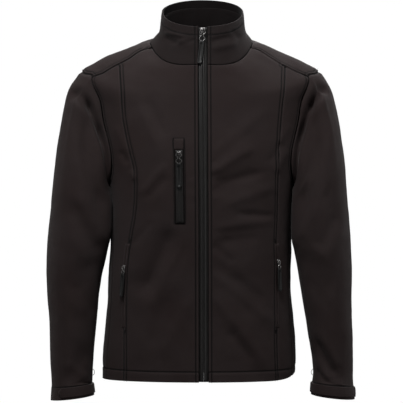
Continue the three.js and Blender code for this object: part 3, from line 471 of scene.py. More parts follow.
def ring_point(ring, angle):
    turn = np.radians(angle)
    across = np.sin(turn)
    ahead = np.cos(turn)
    power = 2 / ring["square"]
    reach = np.where(across < 0, ring["right"] + ring["zipX"], ring["left"] - ring["zipX"])
    depth = np.where(ahead > 0, ring["frontY"], ring["backY"])
    dip = lerp(ease(np.abs(ahead)), np.abs(ahead) ** power, ring["level"])
    far = np.where(ahead > 0, ring["frontZ"], ring["backZ"])
    x = ring["zipX"] + np.sign(across) * reach * np.abs(across) ** power
    y = -np.sign(ahead) * depth * np.abs(ahead) ** power
    z = lerp(ring["sideZ"], far, dip) + ring["raised"] * np.maximum(0, across) ** 10
    return np.stack(np.broadcast_arrays(x, y, z), -1)


def body_ring(height):
    keys = ("frontZ", "backZ", "right", "left", "frontY", "backY", "square", "zipX", "raised")
    ring = {key: BODY_RINGS[key](height) for key in keys}
    ring["sideZ"] = np.asarray(height, float)
    ring["level"] = 0.0
    return ring


def collar_ring(rise):
    keys = ("sideZ", "frontZ", "backZ", "right", "left", "frontY", "backY", "square", "level")
    ring = {key: COLLAR_RINGS[key](rise) for key in keys}
    ring["zipX"] = float(BODY_RINGS["zipX"](0))
    ring["raised"] = 0.0
    return ring


def unit(v):
    return v / np.maximum(1e-9, np.linalg.norm(v, axis=-1, keepdims=True))


def outwards(surface, u, v, du, dv):
    along_u = surface(u + du, v) - surface(u - du, v)
    along_v = surface(u, v + dv) - surface(u, v - dv)
    return unit(np.cross(along_u, along_v))


def plain_body(angle, height):
    return ring_point(body_ring(height), angle)


def fold_fade(along):
    """A fold's share of its height, which fades over both ends."""
    return ease(along / 0.3 + 0.35) * ease((1 - along) / 0.3 + 0.35)


def fold_height(folds, x, z):
    total = np.zeros_like(x)
    for fold in folds:
        dx = fold["x2"] - fold["x1"]
        dz = fold["z2"] - fold["z1"]
        along = ((x - fold["x1"]) * dx + (z - fold["z1"]) * dz) / (dx * dx + dz * dz)
        off = ((x - fold["x1"]) * dz - (z - fold["z1"]) * dx) / math.hypot(dx, dz) / fold["width"]
        total = total + fold["height"] * fold_fade(along) * np.exp(-off * off)
    return total


def body(angle, height, lift=0.0, fine=True):
    """Points of the body and the directions out of it. fine adds the small creases to the large folds."""
    angle, height = np.broadcast_arrays(np.asarray(angle, float), np.asarray(height, float))
    angle = (angle + 180) % 360 - 180
    low = np.clip(height, HEM_HEIGHT + 0.5, -0.5)
    out = outwards(plain_body, angle, low, 0.4, 0.5)
    point = plain_body(angle, height)
    from_side = np.abs(np.abs(angle) - 90)
    side = ease(from_side / 14)
    x, z = point[..., 0], point[..., 2]
    front = fold_height(FRONT_FOLDS, x, z)
    back = fold_height(BACK_FOLDS, x, z)
    if fine:
        front = front + fold_height(FRONT_CREASES, x, z) * ease((np.abs(x - 3) - 9) / 10)
        back = back + fold_height(BACK_CREASES, x, z)
    relief = np.where(np.abs(angle) < 90, front, back) * side
    return point + out * (relief + lift)[..., None], out


def angle_at(x, height, side):
    ring = body_ring(height)
    reach = ring["right"] + ring["zipX"] if side < 0 else ring["left"] - ring["zipX"]
    share = np.clip(side * (x - ring["zipX"]) / reach, 0, 1)
    return side * np.degrees(np.arcsin(share ** (ring["square"] / 2)))


def armhole(side, turn):
    turn = np.asarray(turn, float) % ARMHOLE_TURNS
    i = np.floor(turn).astype(int)
    u = turn - i

    def through(key):
        values = np.array([row[key] for row in ARMHOLE], float)
        a, b, c, d = (values[(i + k) % ARMHOLE_TURNS] for k in (-1, 0, 1, 2))
        return 0.5 * (
            2 * b
            + (c - a) * u
            + (2 * a - 5 * b + 4 * c - d) * u * u
            + (3 * b - a - 3 * c + d) * u * u * u
        )

    return np.stack([side * through("angle"), through("height")], -1)


def shoulder_seam(side, t):
    height = lerp(0, ARMHOLE[SHOULDER_SEAM_TURN]["height"], np.asarray(t, float))
    return np.stack([side * SHOULDER_SEAM[side]["angle"](height), height], -1)


def panel_seam(side, height, inwards=0.0):
    height = np.asarray(height, float)
    x = side * (PANEL_SEAM[side]["x"](height) - inwards)
    return np.stack([angle_at(x, height, side), height], -1)


# How finely the panels' edges are cut
SIDE_STEPS = 130
TURN_STEPS = 18
NECK_STEPS = 28
SHOULDER_STEPS = 20
SIDE_PANEL_STEPS = 30
NECK_BACK_STEPS = 84
LAST_SIDE = -281
BACK_ROW_START = -300
SIDE_HEIGHTS = np.linspace(HEM_HEIGHT, LAST_SIDE, SIDE_STEPS + 1)
BACK_TURNS = ARMHOLE_TURNS - SIDE_SEAM_TURN + SHOULDER_SEAM_TURN


def steps(count):
    return np.linspace(0, 1, count + 1)


def edge_up(side, turns):
    """The side seam and then the armhole, over that many of its turns."""
    seam = np.stack([side * SIDE_SEAM["angle"](SIDE_HEIGHTS), SIDE_HEIGHTS], -1)
    t = steps(abs(turns) * TURN_STEPS)[1:]
    return np.concatenate([seam, armhole(side, SIDE_SEAM_TURN + turns * t)])


def side_edge(side):
    return edge_up(side, SHOULDER_SEAM_TURN - SIDE_SEAM_TURN)


def back_edge(side):
    return edge_up(side, BACK_TURNS)


def panel_seam_rows(side):
    edge = side_edge(side)
    end = shoulder_seam(side, PANEL_SEAM_SHARE[side])
    heights = np.where(
        np.arange(len(edge)) <= SIDE_STEPS,
        edge[:, 1],
        lerp(LAST_SIDE, end[1], (edge[:, 1] - LAST_SIDE) / (edge[-1, 1] - LAST_SIDE)),
    )
    rows = panel_seam(side, heights)
    rows[-1] = end
    return rows


def patch(first, last, bottom, top, pull):
    t = steps(len(first) - 1)[:, None, None]
    s = steps(len(bottom) - 1)[:, None]
    across = lerp(first[:, None, :], last[:, None, :], s[None])
    from_bottom = bottom - lerp(first[0], last[0], s)
    from_top = top - lerp(first[-1], last[-1], s)
    return across + (1 - t) ** 6 * from_bottom[None] + pull(t) * from_top[None]


def neck_front(side):
    start = angle_at(BODY_RINGS["zipX"](0) + side * ZIP_OPENING / 2, 0, side)
    return lerp(start, shoulder_seam(side, 0)[0], steps(NECK_STEPS))


def front_panel(side):
    def to_x(places):
        return np.stack([plain_body(places[:, 0], places[:, 1])[:, 0], places[:, 1]], -1)

    neck = neck_front(side)
    shoulder = shoulder_seam(side, steps(SHOULDER_STEPS)[1:] * PANEL_SEAM_SHARE[side])
    top = to_x(np.concatenate([np.stack([neck, 0 * neck], -1), shoulder]))
    last = to_x(panel_seam_rows(side))
    t = steps(len(last) - 1)
    raised = lerp(last[:, 1], 0, ease((t - 0.55) / 0.45))
    first = np.stack([BODY_RINGS["zipX"](raised) + side * ZIP_OPENING / 2, raised], -1)
    s = steps(len(top) - 1)
    bottom = np.stack([lerp(first[0, 0], last[0, 0], s), 0 * s + HEM_HEIGHT], -1)
    grid = patch(first, last, bottom, top, lambda t: t**5)
    height = grid[..., 1]
    return np.stack([angle_at(grid[..., 0], height, side), height], -1)


def side_panel(side):
    first = panel_seam_rows(side)
    last = side_edge(side)
    s = steps(SIDE_PANEL_STEPS)
    top = shoulder_seam(side, lerp(PANEL_SEAM_SHARE[side], 1, s))
    bottom = np.stack([lerp(first[0, 0], last[0, 0], s), 0 * s + HEM_HEIGHT], -1)
    return patch(first, last, bottom, top, lambda t: t**3)


def shoulder_shares(side):
    share = PANEL_SEAM_SHARE[side]
    front = steps(SHOULDER_STEPS) * share
    return np.concatenate([front, lerp(share, 1, steps(SIDE_PANEL_STEPS)[1:])])


def back_panel():
    full = np.array([360, 0])
    first = back_edge(LEFT)
    last = back_edge(RIGHT) + full
    left = shoulder_seam(LEFT, shoulder_shares(LEFT)[::-1])
    right = shoulder_seam(RIGHT, shoulder_shares(RIGHT)) + full
    neck = lerp(left[-1], right[0], steps(NECK_BACK_STEPS)[1:-1, None])
    top = np.concatenate([left, neck, right])
    cols = len(top) - 1
    s = steps(cols)
    bottom = np.stack([lerp(first[0, 0], last[0, 0], s), 0 * s + HEM_HEIGHT], -1)
    grid = patch(first, last, bottom, top, lambda t: np.maximum(0, (t - 0.45) / 0.55) ** 3)
    rows = len(first)
    i = np.arange(rows)
    share = np.clip((i - SIDE_STEPS) / (BACK_TURNS * TURN_STEPS), 0, 1)[:, None]
    rising = np.where(
        i[:, None] < SIDE_STEPS,
        lerp(HEM_HEIGHT, BACK_ROW_START, i[:, None] / SIDE_STEPS),
        lerp(BACK_ROW_START, top[None, :, 1], share),
    )
    middle = ease(2.6 * np.minimum(s, 1 - s))[None, :]
    grid[..., 1] = lerp(grid[..., 1], rising, middle)
    return grid


def sleeve_frame(side, ring):
    rings = SLEEVE_RINGS[side]
    mid_y = rings["midY"](ring)
    outer = np.stack([side * rings["outerX"](ring), mid_y, rings["outerZ"](ring)], -1)
    inner = np.stack([side * rings["innerX"](ring), mid_y, rings["innerZ"](ring)], -1)
    up = (outer - inner) / 2
    beside = np.cross(unit(up), np.array([0.0, 1.0, 0.0]))
    return (outer + inner) / 2, up, rings["depth"](ring), beside


def armhole_shape(side, turn):
    middle, up, depth, beside = sleeve_frame(side, 0.0)
    place = armhole(side, np.asarray(turn, float) / 2)
    point, _ = body(place[..., 0], place[..., 1], 0.3)
    off = point - middle
    return off @ up / (up @ up), off[..., 1] / depth, off @ beside


def plain_sleeve(side, ring, turn):
    ring, turn = np.broadcast_arrays(np.asarray(ring, float), np.asarray(turn, float))
    middle, up, depth, beside = sleeve_frame(side, ring)
    shape_up, shape_back, shape_beside = armhole_shape(side, turn % SLEEVE_TURNS)
    share = SLEEVE_RINGS[side]["armhole"](ring)
    around = turn / SLEEVE_TURNS * math.tau
    up_share = lerp(np.cos(around), shape_up, share)
    back = lerp(-np.sin(around), shape_back, share) * depth
    aside = shape_beside * share
    offset = up * up_share[..., None] + beside * aside[..., None]
    offset[..., 1] += back
    return middle + offset


def sleeve_fold(folds, ring, turn):
    total = np.zeros_like(ring)
    for fold in folds:
        along_ring = (fold["ring2"] - fold["ring1"]) / fold["ringWidth"]
        along_turn = (fold["turn2"] - fold["turn1"]) / fold["turnWidth"]
        r = (ring - fold["ring1"]) / fold["ringWidth"]
        t = (turn - fold["turn1"]) / fold["turnWidth"]
        length = math.hypot(along_ring, along_turn)
        along = (r * along_ring + t * along_turn) / (length * length)
        off = (r * along_turn - t * along_ring) / length
        total = total + fold["height"] * fold_fade(along) * np.exp(-off * off)
    return total


def sleeve(side, ring, turn, lift=0.0):
    ring, turn = np.broadcast_arrays(np.asarray(ring, float), np.asarray(turn, float))
    near = np.clip(ring, 0.05, LAST_RING - 0.05)

    def surface(r, t):
        return plain_sleeve(side, r, t)

    out = outwards(surface, near, turn, 0.05, 0.4) * -side
    place = armhole(side, turn / 2)
    rim = body(place[..., 0], place[..., 1], fine=False)[1]
    agree = np.sum(rim * out, -1)
    share = ease(agree) * (1 - ease(ring / 0.7))
    out = unit(lerp(out, rim, share[..., None]))
    height = sleeve_fold(SLEEVE_FOLDS, ring, turn % SLEEVE_TURNS) * ease(ring / 1.5)
    height = height + sleeve_fold(SLEEVE_CREASES[side], ring, turn % SLEEVE_TURNS) * ease(ring / 0.35)
    height = height * ease((CUFF_RING - ring) / 0.6)
    return plain_sleeve(side, ring, turn) + out * (height + lift)[..., None], out


def ring_angle_at(ring, across):
    reach = ring["right"] + ring["zipX"] if across < 0 else ring["left"] - ring["zipX"]
    share = (abs(across) / reach) ** (ring["square"] / 2)
    return math.copysign(1, across) * np.degrees(np.arcsin(share))


def collar_angles(rise):
    """One row of the collar's angles, from the zip round the back to the zip."""
    ring = collar_ring(rise)
    left = lerp(ring_angle_at(ring, ZIP_OPENING / 2), shoulder_seam(LEFT, 0)[0], steps(NECK_STEPS))
    right = lerp(ring_angle_at(ring, -ZIP_OPENING / 2), shoulder_seam(RIGHT, 0)[0], steps(NECK_STEPS))
    back = lerp(left[-1], 360 + right[-1], steps(NECK_BACK_STEPS)[1:-1])
    return np.concatenate([left, back, right[::-1] + 360])


def collar(angle, rise, lift=0.0):
    angle, rise = np.broadcast_arrays(np.asarray(angle, float), np.asarray(rise, float))

    def surface(a, r):
        return ring_point(collar_ring(r), a)

    near = np.clip(rise, 0.01, 0.99)
    out = outwards(surface, angle, near, 0.4, 0.01)
    return surface(angle, rise) + out * np.asarray(lift)[..., None], out


SEAM_PITCH = 0.6  # between the points of a seam's path


# Seams, each as a close row of points and the directions out of the cloth there
def evenly(points, outs, pitch):
    """The same path cut at even steps."""
    length = np.concatenate([[0], np.cumsum(np.linalg.norm(np.diff(points, axis=0), axis=1))])
    at = np.arange(0, length[-1], pitch)

    def take(values):
        return np.stack([np.interp(at, length, values[:, k]) for k in range(3)], -1)

    return take(points), unit(take(outs))


def body_path(places):
    return evenly(*body(places[:, 0], places[:, 1], fine=False), SEAM_PITCH)


def closed_turns(count):
    return np.linspace(0, ARMHOLE_TURNS, count)


def neck_places():
    angles = collar_angles(0)
    return np.stack([angles, 0 * angles], -1)


def front_edge_places(side):
    return front_panel(side)[:, 0]


def collar_path(column):
    """The collar's edge at one side of the zip, from the neck seam up."""
    rises = steps(60)
    angles = np.array([collar_angles(rise)[column] for rise in rises])
    return evenly(*collar(angles, rises), SEAM_PITCH)


def band_path():
    """The stitching round the collar that holds the strip inside its top edge."""
    angles = collar_angles(BAND_RISE)
    return evenly(*collar(angles, BAND_RISE + 0 * angles), SEAM_PITCH)


def cuff_path(side):
    turns = np.linspace(0, SLEEVE_TURNS, 200)
    return evenly(*sleeve(side, CUFF_RING + 0 * turns, turns), SEAM_PITCH)


def front_height(z):
    """The body's side height at which the front of its ring is at z."""
    heights = np.linspace(HEM_HEIGHT, 0, 400)
    return np.interp(z, BODY_RINGS["frontZ"](heights), heights)


def chest_x(z):
    """The middle of the chest pocket's zip, which leans a little."""
    return CHEST_ZIP_X + CHEST_ZIP_LEAN * (CHEST_ZIP_TOP - z) / (CHEST_ZIP_TOP - CHEST_ZIP_BOTTOM)


def chest_frame_path():
    """The rectangle stitched round the chest pocket."""
    corners = np.arange(5)
    t = np.linspace(0, 4, 161)
    z = np.interp(t, corners, [CHEST_TOP, CHEST_TOP, CHEST_BOTTOM, CHEST_BOTTOM, CHEST_TOP])
    x = chest_x(z) + CHEST_STITCHED * np.interp(t, corners, [-1, 1, 1, -1, -1])
    height = front_height(z)
    angle = np.array([angle_at(a, b, RIGHT) for a, b in zip(x, height)])
    return body_path(np.stack([angle, height], -1))


FAR = 60.0  # stands for no seam nearby
STITCHED = "stitched"  # marks a line of stitching with no seam under it
SEAMS = {}
for side in (RIGHT, LEFT):
    side_places = np.stack([side * SIDE_SEAM["angle"](SIDE_HEIGHTS), SIDE_HEIGHTS], -1)
    SEAMS["panel", side] = body_path(panel_seam_rows(side))
    SEAMS["side", side] = body_path(side_places)
    SEAMS["shoulder", side] = body_path(shoulder_seam(side, steps(120)))
    SEAMS["armhole", side] = body_path(armhole(side, closed_turns(400)))
    SEAMS["edge", side] = body_path(front_edge_places(side))
    SEAMS["collar edge", side] = collar_path(0 if side > 0 else -1)
    SEAMS["cuff", side] = cuff_path(side)
SEAMS["neck"] = body_path(neck_places())
SEAMS["collar band"] = band_path()
SEAMS["chest pocket"] = chest_frame_path()
TREES = {}
for key, (points, outs) in SEAMS.items():
    tree = KDTree(len(points))
    for i, point in enumerate(points):
        tree.insert(point, i)
    tree.balance()
    TREES[key] = tree


SEAM_DEPTH = 1.25
STITCH_DEPTH = 0.95
ALLOWANCE = 0.5  # how much the folded cloth under a stitched seam raises it


def seam_relief(points, seams):
    """How far the cloth dips at its seams and stitching, and each point's distance to the nearest seam."""
    flat = points.reshape(-1, 3)
    dip = np.zeros(len(flat))
    nearest = np.full(len(flat), FAR)
    for key, rows in seams:
        found = [TREES[key].find(p)[1:] for p in flat]
        along = np.array([index for index, _ in found]) * SEAM_PITCH
        d = np.array([distance for _, distance in found])
        if rows == STITCHED:
            dip -= STITCH_DEPTH * np.exp(-((d / 1.2) ** 2))
            continue
        nearest = np.minimum(nearest, d)
        dip -= SEAM_DEPTH * np.exp(-((d / 1.7) ** 2))
        for row in rows:
            dip -= STITCH_DEPTH * np.exp(-(((d - row) / 1.3) ** 2))
        if rows:
            band = np.exp(-(((d - max(rows) / 2) / max(rows)) ** 2))
            ripple = np.sin(along / 2.9 + 2.1 * np.sin(along / 23)) * (0.6 + 0.4 * np.sin(along / 41))
            dip += (ALLOWANCE + 0.14 * ripple) * band
    return dip.reshape(points.shape[:-1]), nearest.reshape(points.shape[:-1])


def stitch_distance(points, seams, hem=False):
    """Each point's distance to the nearest line of stitching."""
    flat = points.reshape(-1, 3)
    nearest = np.abs(flat[:, 2] - HEM_HEIGHT - HEM_TURN) if hem else np.full(len(flat), FAR)
    for key, rows in seams:
        if not rows:
            continue
        d = np.array([TREES[key].find(p)[2] for p in flat])
        for row in (0,) if rows == STITCHED else rows:
            nearest = np.minimum(nearest, np.abs(d - row))
    return nearest.reshape(points.shape[:-1])


def lumps(points, size, seed):
    """Smooth uneven heights between about -1 and 1, over lengths of about that size."""
    flat = points.reshape(-1, 3) / size + seed * 17.3
    values = np.array([noise.noise(p) for p in flat])
    return 1.6 * values.reshape(points.shape[:-1])


def sample(grid, rows, cols):
    """The grid's places at fractional rows and columns."""
    for axis, where in ((0, rows), (1, cols)):
        low = np.clip(np.floor(where).astype(int), 0, grid.shape[axis] - 2)
        shape = [1, 1, 1]
        shape[axis] = -1
        a = np.take(grid, low, axis)
        b = np.take(grid, low + 1, axis)
        grid = a + (b - a) * (where - low).reshape(shape)
    return grid


EDGE_OFFSETS = (0, 0.7, 1.4, 2.2, 3.1, 4.2, 5.4, 6.2, 6.9, 7.8, 9.4, 12.5)
HEM_OFFSETS = (0, 0.8, 2, 4, 8, 13, 17, 19, 20.4, 21.4, 22.4, 23.6, 25.6, 29)


def spaced(length, at_start=EDGE_OFFSETS, at_end=EDGE_OFFSETS, coarse=5.0):
    """Shares from 0 to 1 along a length, close together near the ends that ask for it."""
    span = length - at_start[-1] - at_end[-1]
    inner = at_start[-1] + span * steps(max(2, round(span / coarse)))[1:-1]
    return np.concatenate([at_start, inner, length - np.array(at_end[::-1])]) / length


# Meshes
def grid_faces(rows, cols, start=0, closed=False, turned=False):
    i, j = np.meshgrid(np.arange(rows - 1), np.arange(cols if closed else cols - 1), indexing="ij")
    k = (j + 1) % cols
    faces = np.stack([i * cols + j, i * cols + k, (i + 1) * cols + k, (i + 1) * cols + j], -1)
    faces = faces.reshape(-1, 4) + start
    return faces[:, ::-1] if turned else faces


def arc_lengths(points):
    """Each point's way along its row and along its column, in metres."""
    across = np.linalg.norm(np.diff(points, axis=1), axis=-1)
    up = np.linalg.norm(np.diff(points, axis=0), axis=-1)
    u = np.concatenate([np.zeros((points.shape[0], 1)), np.cumsum(across, 1)], 1)
    v = np.concatenate([np.zeros((1, points.shape[1])), np.cumsum(up, 0)], 0)
    u = u - u[:, points.shape[1] // 2][:, None]
    return np.stack([u, v], -1) * MM


def mesh_object(name, vertices, faces, materials, face_material=None, uv=None, values=None):
    mesh = bpy.data.meshes.new(name)
    mesh.from_pydata((np.asarray(vertices) * MM).tolist(), [], [list(map(int, f)) for f in faces])
    for material in materials:
        mesh.materials.append(material)
    if face_material is not None:
        mesh.polygons.foreach_set("material_index", np.asarray(face_material, np.int32))
    if uv is not None:
        loops = np.empty(len(mesh.loops), np.int32)
        mesh.loops.foreach_get("vertex_index", loops)
        layer = mesh.uv_layers.new(name="cloth")
        layer.data.foreach_set("uv", np.asarray(uv, np.float32)[loops].ravel())
    for key, value in (values or {}).items():
        attribute = mesh.attributes.new(key, "FLOAT", "POINT")
        attribute.data.foreach_set("value", np.asarray(value, np.float32))
    mesh.polygons.foreach_set("use_smooth", np.ones(len(mesh.polygons), bool))
    mesh.update()
    piece = bpy.data.objects.new(name, mesh)
    bpy.context.scene.collection.objects.link(piece)
    return piece


OUTER = []  # outer faces of the cloth, on which stitching is laid


def shell(name, outer, inner, materials, closed=False, seam=None, flip=False, stitch=None):
    """A closed thin shell between two grids of points."""
    rows, cols = outer.shape[:2]
    count = rows * cols
    faces = [
        grid_faces(rows, cols, 0, closed, flip),
        grid_faces(rows, cols, count, closed, not flip),
    ]
    material = [np.zeros(len(faces[0])), np.ones(len(faces[1]))]
    ring = [(0, j) for j in range(cols)]
    around = [ring[::-1], [(rows - 1, j) for j in range(cols)]]
    if not closed:
        left = [(i, 0) for i in range(rows)]
        right = [(i, cols - 1) for i in range(rows)][::-1]
        around = around + [left, right]
    edge = []
    for line in around:
        ids = [i * cols + j for i, j in line]
        if closed:
            ids.append(ids[0])
        for a, b in zip(ids, ids[1:]):
            edge.append((a, b, b + count, a + count) if not flip else (b, a, a + count, b + count))
    faces.append(np.array(edge))
    material.append(np.zeros(len(edge)))
    uv = arc_lengths(outer).reshape(-1, 2)
    near = np.full(count, FAR) if seam is None else seam.ravel()
    sewn = np.full(count, FAR) if stitch is None else stitch.ravel()
    OUTER.append((outer, grid_faces(rows, cols, 0, closed, flip)))
    return mesh_object(
        name,
        np.concatenate([outer.reshape(-1, 3), inner.reshape(-1, 3)]),
        np.concatenate(faces),
        materials,
        np.concatenate(material),
        np.concatenate([uv, uv]),
        {"seam": np.concatenate([near, near]), "stitch": np.concatenate([sewn, sewn])},
    )


# Materials. Every one takes its colour, sheen, roughness and bump from its own nodes.
class Nodes:
    """A material's node tree, with short ways to add nodes and links."""

    def __init__(self, name):
        self.material = bpy.data.materials.new(name)
        self.material.use_nodes = True
        self.tree = self.material.node_tree
        self.tree.nodes.clear()
        self.shader = self.add("ShaderNodeBsdfPrincipled")
        output = self.add("ShaderNodeOutputMaterial")
        self.tree.links.new(self.shader.outputs["BSDF"], output.inputs["Surface"])

    def add(self, kind, inputs=None, **props):
        node = self.tree.nodes.new(kind)
        for key, value in props.items():
            setattr(node, key, value)
        for key, value in (inputs or {}).items():
            self.put(node.inputs[key], value)
        return node

    def put(self, socket, value):
        if isinstance(value, bpy.types.NodeSocket):
            self.tree.links.new(value, socket)
        else:
            socket.default_value = value

    def coordinates(self, kind):
        return self.add("ShaderNodeTexCoord").outputs[kind]

    def math(self, operation, a, b=0.0):
        node = self.add("ShaderNodeMath", operation=operation)
        self.put(node.inputs[0], a)
        self.put(node.inputs[1], b)
        return node.outputs[0]

    def noise(self, scale, detail=3.0, vector=None, rough=0.55):
        vector = vector or self.coordinates("Object")
        inputs = {"Vector": vector, "Scale": scale, "Detail": detail, "Roughness": rough}
        return self.add("ShaderNodeTexNoise", inputs).outputs["Fac"]

    def spread(self, value, low, high, to_low=0.0, to_high=1.0):
        """The value, stretched from one range to another."""
        inputs = {0: value, 1: low, 2: high, 3: to_low, 4: to_high}
        return self.add("ShaderNodeMapRange", inputs).outputs[0]

    def mix(self, share, a, b):
        node = self.add("ShaderNodeMix", data_type="RGBA")
        self.put(node.inputs[0], share)
        self.put(node.inputs[6], a)
        self.put(node.inputs[7], b)
        return node.outputs[2]

    def bump(self, height, distance, strength=1.0, normal=None):
        node = self.add("ShaderNodeBump", {"Height": height, "Distance": distance, "Strength": strength})
        if normal is not None:
            self.put(node.inputs["Normal"], normal)
        return node.outputs["Normal"]

    def weave(self, pitch):
        """Crossing threads that pass over and under each other, of that pitch in metres."""
        uv = self.coordinates("UV")
        split = self.add("ShaderNodeSeparateXYZ", {0: uv})
        turn = math.pi / pitch
        warp = self.math("SINE", self.math("MULTIPLY", split.outputs[0], turn))
        weft = self.math("SINE", self.math("MULTIPLY", split.outputs[1], turn))
        return self.math("MULTIPLY", warp, weft)

    def finish(self, **inputs):
        for key, value in inputs.items():
            self.put(self.shader.inputs[key.replace("_", " ")], value)
        return self.material


def grey(level, warmth=0.0):
    return (level * (1 + warmth), level, level * (1 - 0.4 * warmth), 1.0)


def cloth_material(name, dark, light, worn, pitch, rough=0.82, fuzz=0.00006):
    made = Nodes(name)
    patches = made.noise(9, 4)
    specks = made.noise(1400, 2)
    colour = made.mix(made.spread(patches, 0.3, 0.7), dark, light)
    seam = made.add("ShaderNodeAttribute", attribute_name="seam").outputs["Fac"]
    rubbed = made.math("MULTIPLY", made.spread(seam, 1.6, 4.6, 1, 0), made.spread(specks, 0.35, 0.7))
    colour = made.mix(made.math("MULTIPLY", rubbed, 0.5), colour, worn)
    colour = made.mix(made.spread(specks, 0.5, 0.8, 0, 0.35), colour, worn)
    stitch = made.add("ShaderNodeAttribute", attribute_name="stitch").outputs["Fac"]
    # Painted shade: the colour is drawn towards near-black in the dents along each line of stitching and
    # each seam, where shade falls.
    seam_shade = (0.0035, 0.003, 0.003, 1)
    colour = made.mix(made.spread(stitch, 0.8, 2.0, 0.8, 0), colour, seam_shade)
    colour = made.mix(made.spread(seam, 0.5, 1.5, 0.8, 0), colour, seam_shade)
    normal = made.bump(made.weave(pitch), 0.00012, 0.55)
    normal = made.bump(specks, fuzz, 0.6, normal)
    normal = made.bump(made.noise(60, 3), 0.0006, 0.35, normal)
    return made.finish(
        Base_Color=colour,
        Roughness=made.spread(made.noise(35, 4), 0.3, 0.7, rough - 0.06, rough + 0.06),
        Specular_IOR_Level=0.12,
        Sheen_Weight=0.04,
        Sheen_Roughness=0.45,
        Normal=normal,
    )


SHELL = cloth_material(
    "softshell", (0.0165, 0.0104, 0.01, 1), (0.0205, 0.0148, 0.0146, 1), (0.038, 0.029, 0.029, 1), 0.0008
)
# Painted shade: the same softshell as the body, made darker for the shade that falls on the collar.
SHADED_COLLAR_CLOTH = cloth_material(
    "softshell_collar_painted_shade",
    (0.0096, 0.0062, 0.006, 1),
    (0.0124, 0.009, 0.0089, 1),
    (0.03, 0.023, 0.023, 1),
    0.0008,
)
# Its own dark colour, made darker still as painted shade for the inside of the collar and the other inner
# faces.
SHADED_INSIDE = cloth_material(
    "brushed_inside_painted_shade", (0.0022, 0.0012, 0.0012, 1), (0.003, 0.0019, 0.0019, 1), grey(0.005), 0.0013, 0.92
)
# Its own dark colour, made darker still as painted shade for the shadowed lining inside the back of the
# collar.
SHADED_LINING = cloth_material(
    "collar_lining", (0.0028, 0.0016, 0.0016, 1), (0.0038, 0.0024, 0.0024, 1), grey(0.006), 0.001, 0.9
)


def free(near):
    """How free the cloth is to wave: not at all at a seam."""
    return 1 - np.exp(-((near / 14) ** 2))


def uneven(points):
    """The slight waviness of worn cloth."""
    return 1.1 * lumps(points, 85, 1) + 0.45 * lumps(points, 34, 2) + 0.16 * lumps(points, 13, 3)


def hem_relief(points):
    """The turned hem stands a little proud below its stitching."""
    above = points[..., 2] - HEM_HEIGHT
    stitch = -STITCH_DEPTH * np.exp(-(((above - HEM_TURN) / 1.1) ** 2))
    return stitch + 0.9 * ease((HEM_TURN - above) / 3)


def resampled(grid, rows, cols, name, materials, seams, flip=False):
    """A body panel: its grid cut at those rows and columns, with folds, seams and a little unevenness."""
    places = sample(grid, rows * (grid.shape[0] - 1), cols * (grid.shape[1] - 1))
    angle, height = places[..., 0], places[..., 1]
    flat, out = body(angle, height)
    dip, near = seam_relief(flat, seams)
    relief = dip + uneven(flat) * free(near) + hem_relief(flat)
    outer = flat + out * relief[..., None]
    turned = np.where(height < HEM_HEIGHT + HEM_TURN, 1.5, 0.0)
    inner = flat + out * (relief - CLOTH - turned)[..., None]
    sewn = stitch_distance(flat, seams, hem=True)
    piece = shell(name, outer, inner, materials, seam=near, flip=flip, stitch=sewn)
    return piece, outer


DOUBLE = (1.5, 7.2)  # from a seam to its two rows of stitching
EMPTY = ()  # a seam with no stitching beside it
SIDE_LENGTH = LAST_SIDE - HEM_HEIGHT


def panel_rows(arm_length):
    """Rows close together at the hem's stitching and at the top."""
    return spaced(SIDE_LENGTH + arm_length, HEM_OFFSETS, EDGE_OFFSETS, 4.2)


CLOTH_PIECES = {}
for side in (RIGHT, LEFT):
    name = NAMES[side]
    grid = front_panel(side)
    rows = panel_rows(245)
    piece, outer = resampled(
        grid,
        rows,
        spaced(150, EDGE_OFFSETS, EDGE_OFFSETS, 4.2),
        f"cloth_front_{name}",
        (SHELL, SHADED_INSIDE),
        [
            (("edge", side), (EDGE_STITCHED,)),
            (("panel", side), DOUBLE),
            (("shoulder", side), EMPTY),
            ("neck", EMPTY),
        ]
        + ([("chest pocket", STITCHED)] if side == RIGHT else []),
        flip=side < 0,
    )
    CLOTH_PIECES[f"front_{name}"] = piece
    grid = side_panel(side)
    piece, outer = resampled(
        grid,
        rows,
        spaced(75, EDGE_OFFSETS, EDGE_OFFSETS, 4.2),
        f"cloth_side_{name}",
        (SHELL, SHADED_INSIDE),
        [
            (("panel", side), EMPTY),
            (("side", side), EMPTY),
            (("armhole", side), DOUBLE),
            (("shoulder", side), EMPTY),
        ],
        flip=side < 0,
    )
    CLOTH_PIECES[f"side_front_{name}"] = piece

piece, outer = resampled(
    back_panel(),
    panel_rows(560),
    spaced(480, EDGE_OFFSETS, EDGE_OFFSETS, 4.4),
    "cloth_back",
    (SHELL, SHADED_INSIDE),
    [
        (("side", RIGHT), EMPTY),
        (("side", LEFT), EMPTY),
        (("armhole", RIGHT), DOUBLE),
        (("armhole", LEFT), DOUBLE),
        (("shoulder", RIGHT), DOUBLE),
        (("shoulder", LEFT), DOUBLE),
        ("neck", EMPTY),
    ],
)
CLOTH_PIECES["back"] = piece


def sleeve_rings():
    """Rings close together at the armhole and at the turned end."""
    start = [0.01, 0.03, 0.06, 0.1, 0.15, 0.21, 0.28, 0.36, 0.45, 0.56, 0.68, 0.82]
    at_turn = [15.62, 15.75, 15.85, 15.92, 15.97, 16.02, 16.1, 16.25]
    end = [16.4, 16.55, 16.7, 16.85, 16.95, LAST_RING]
    return np.concatenate([start, np.arange(1, 15.6, 0.09), at_turn, end])


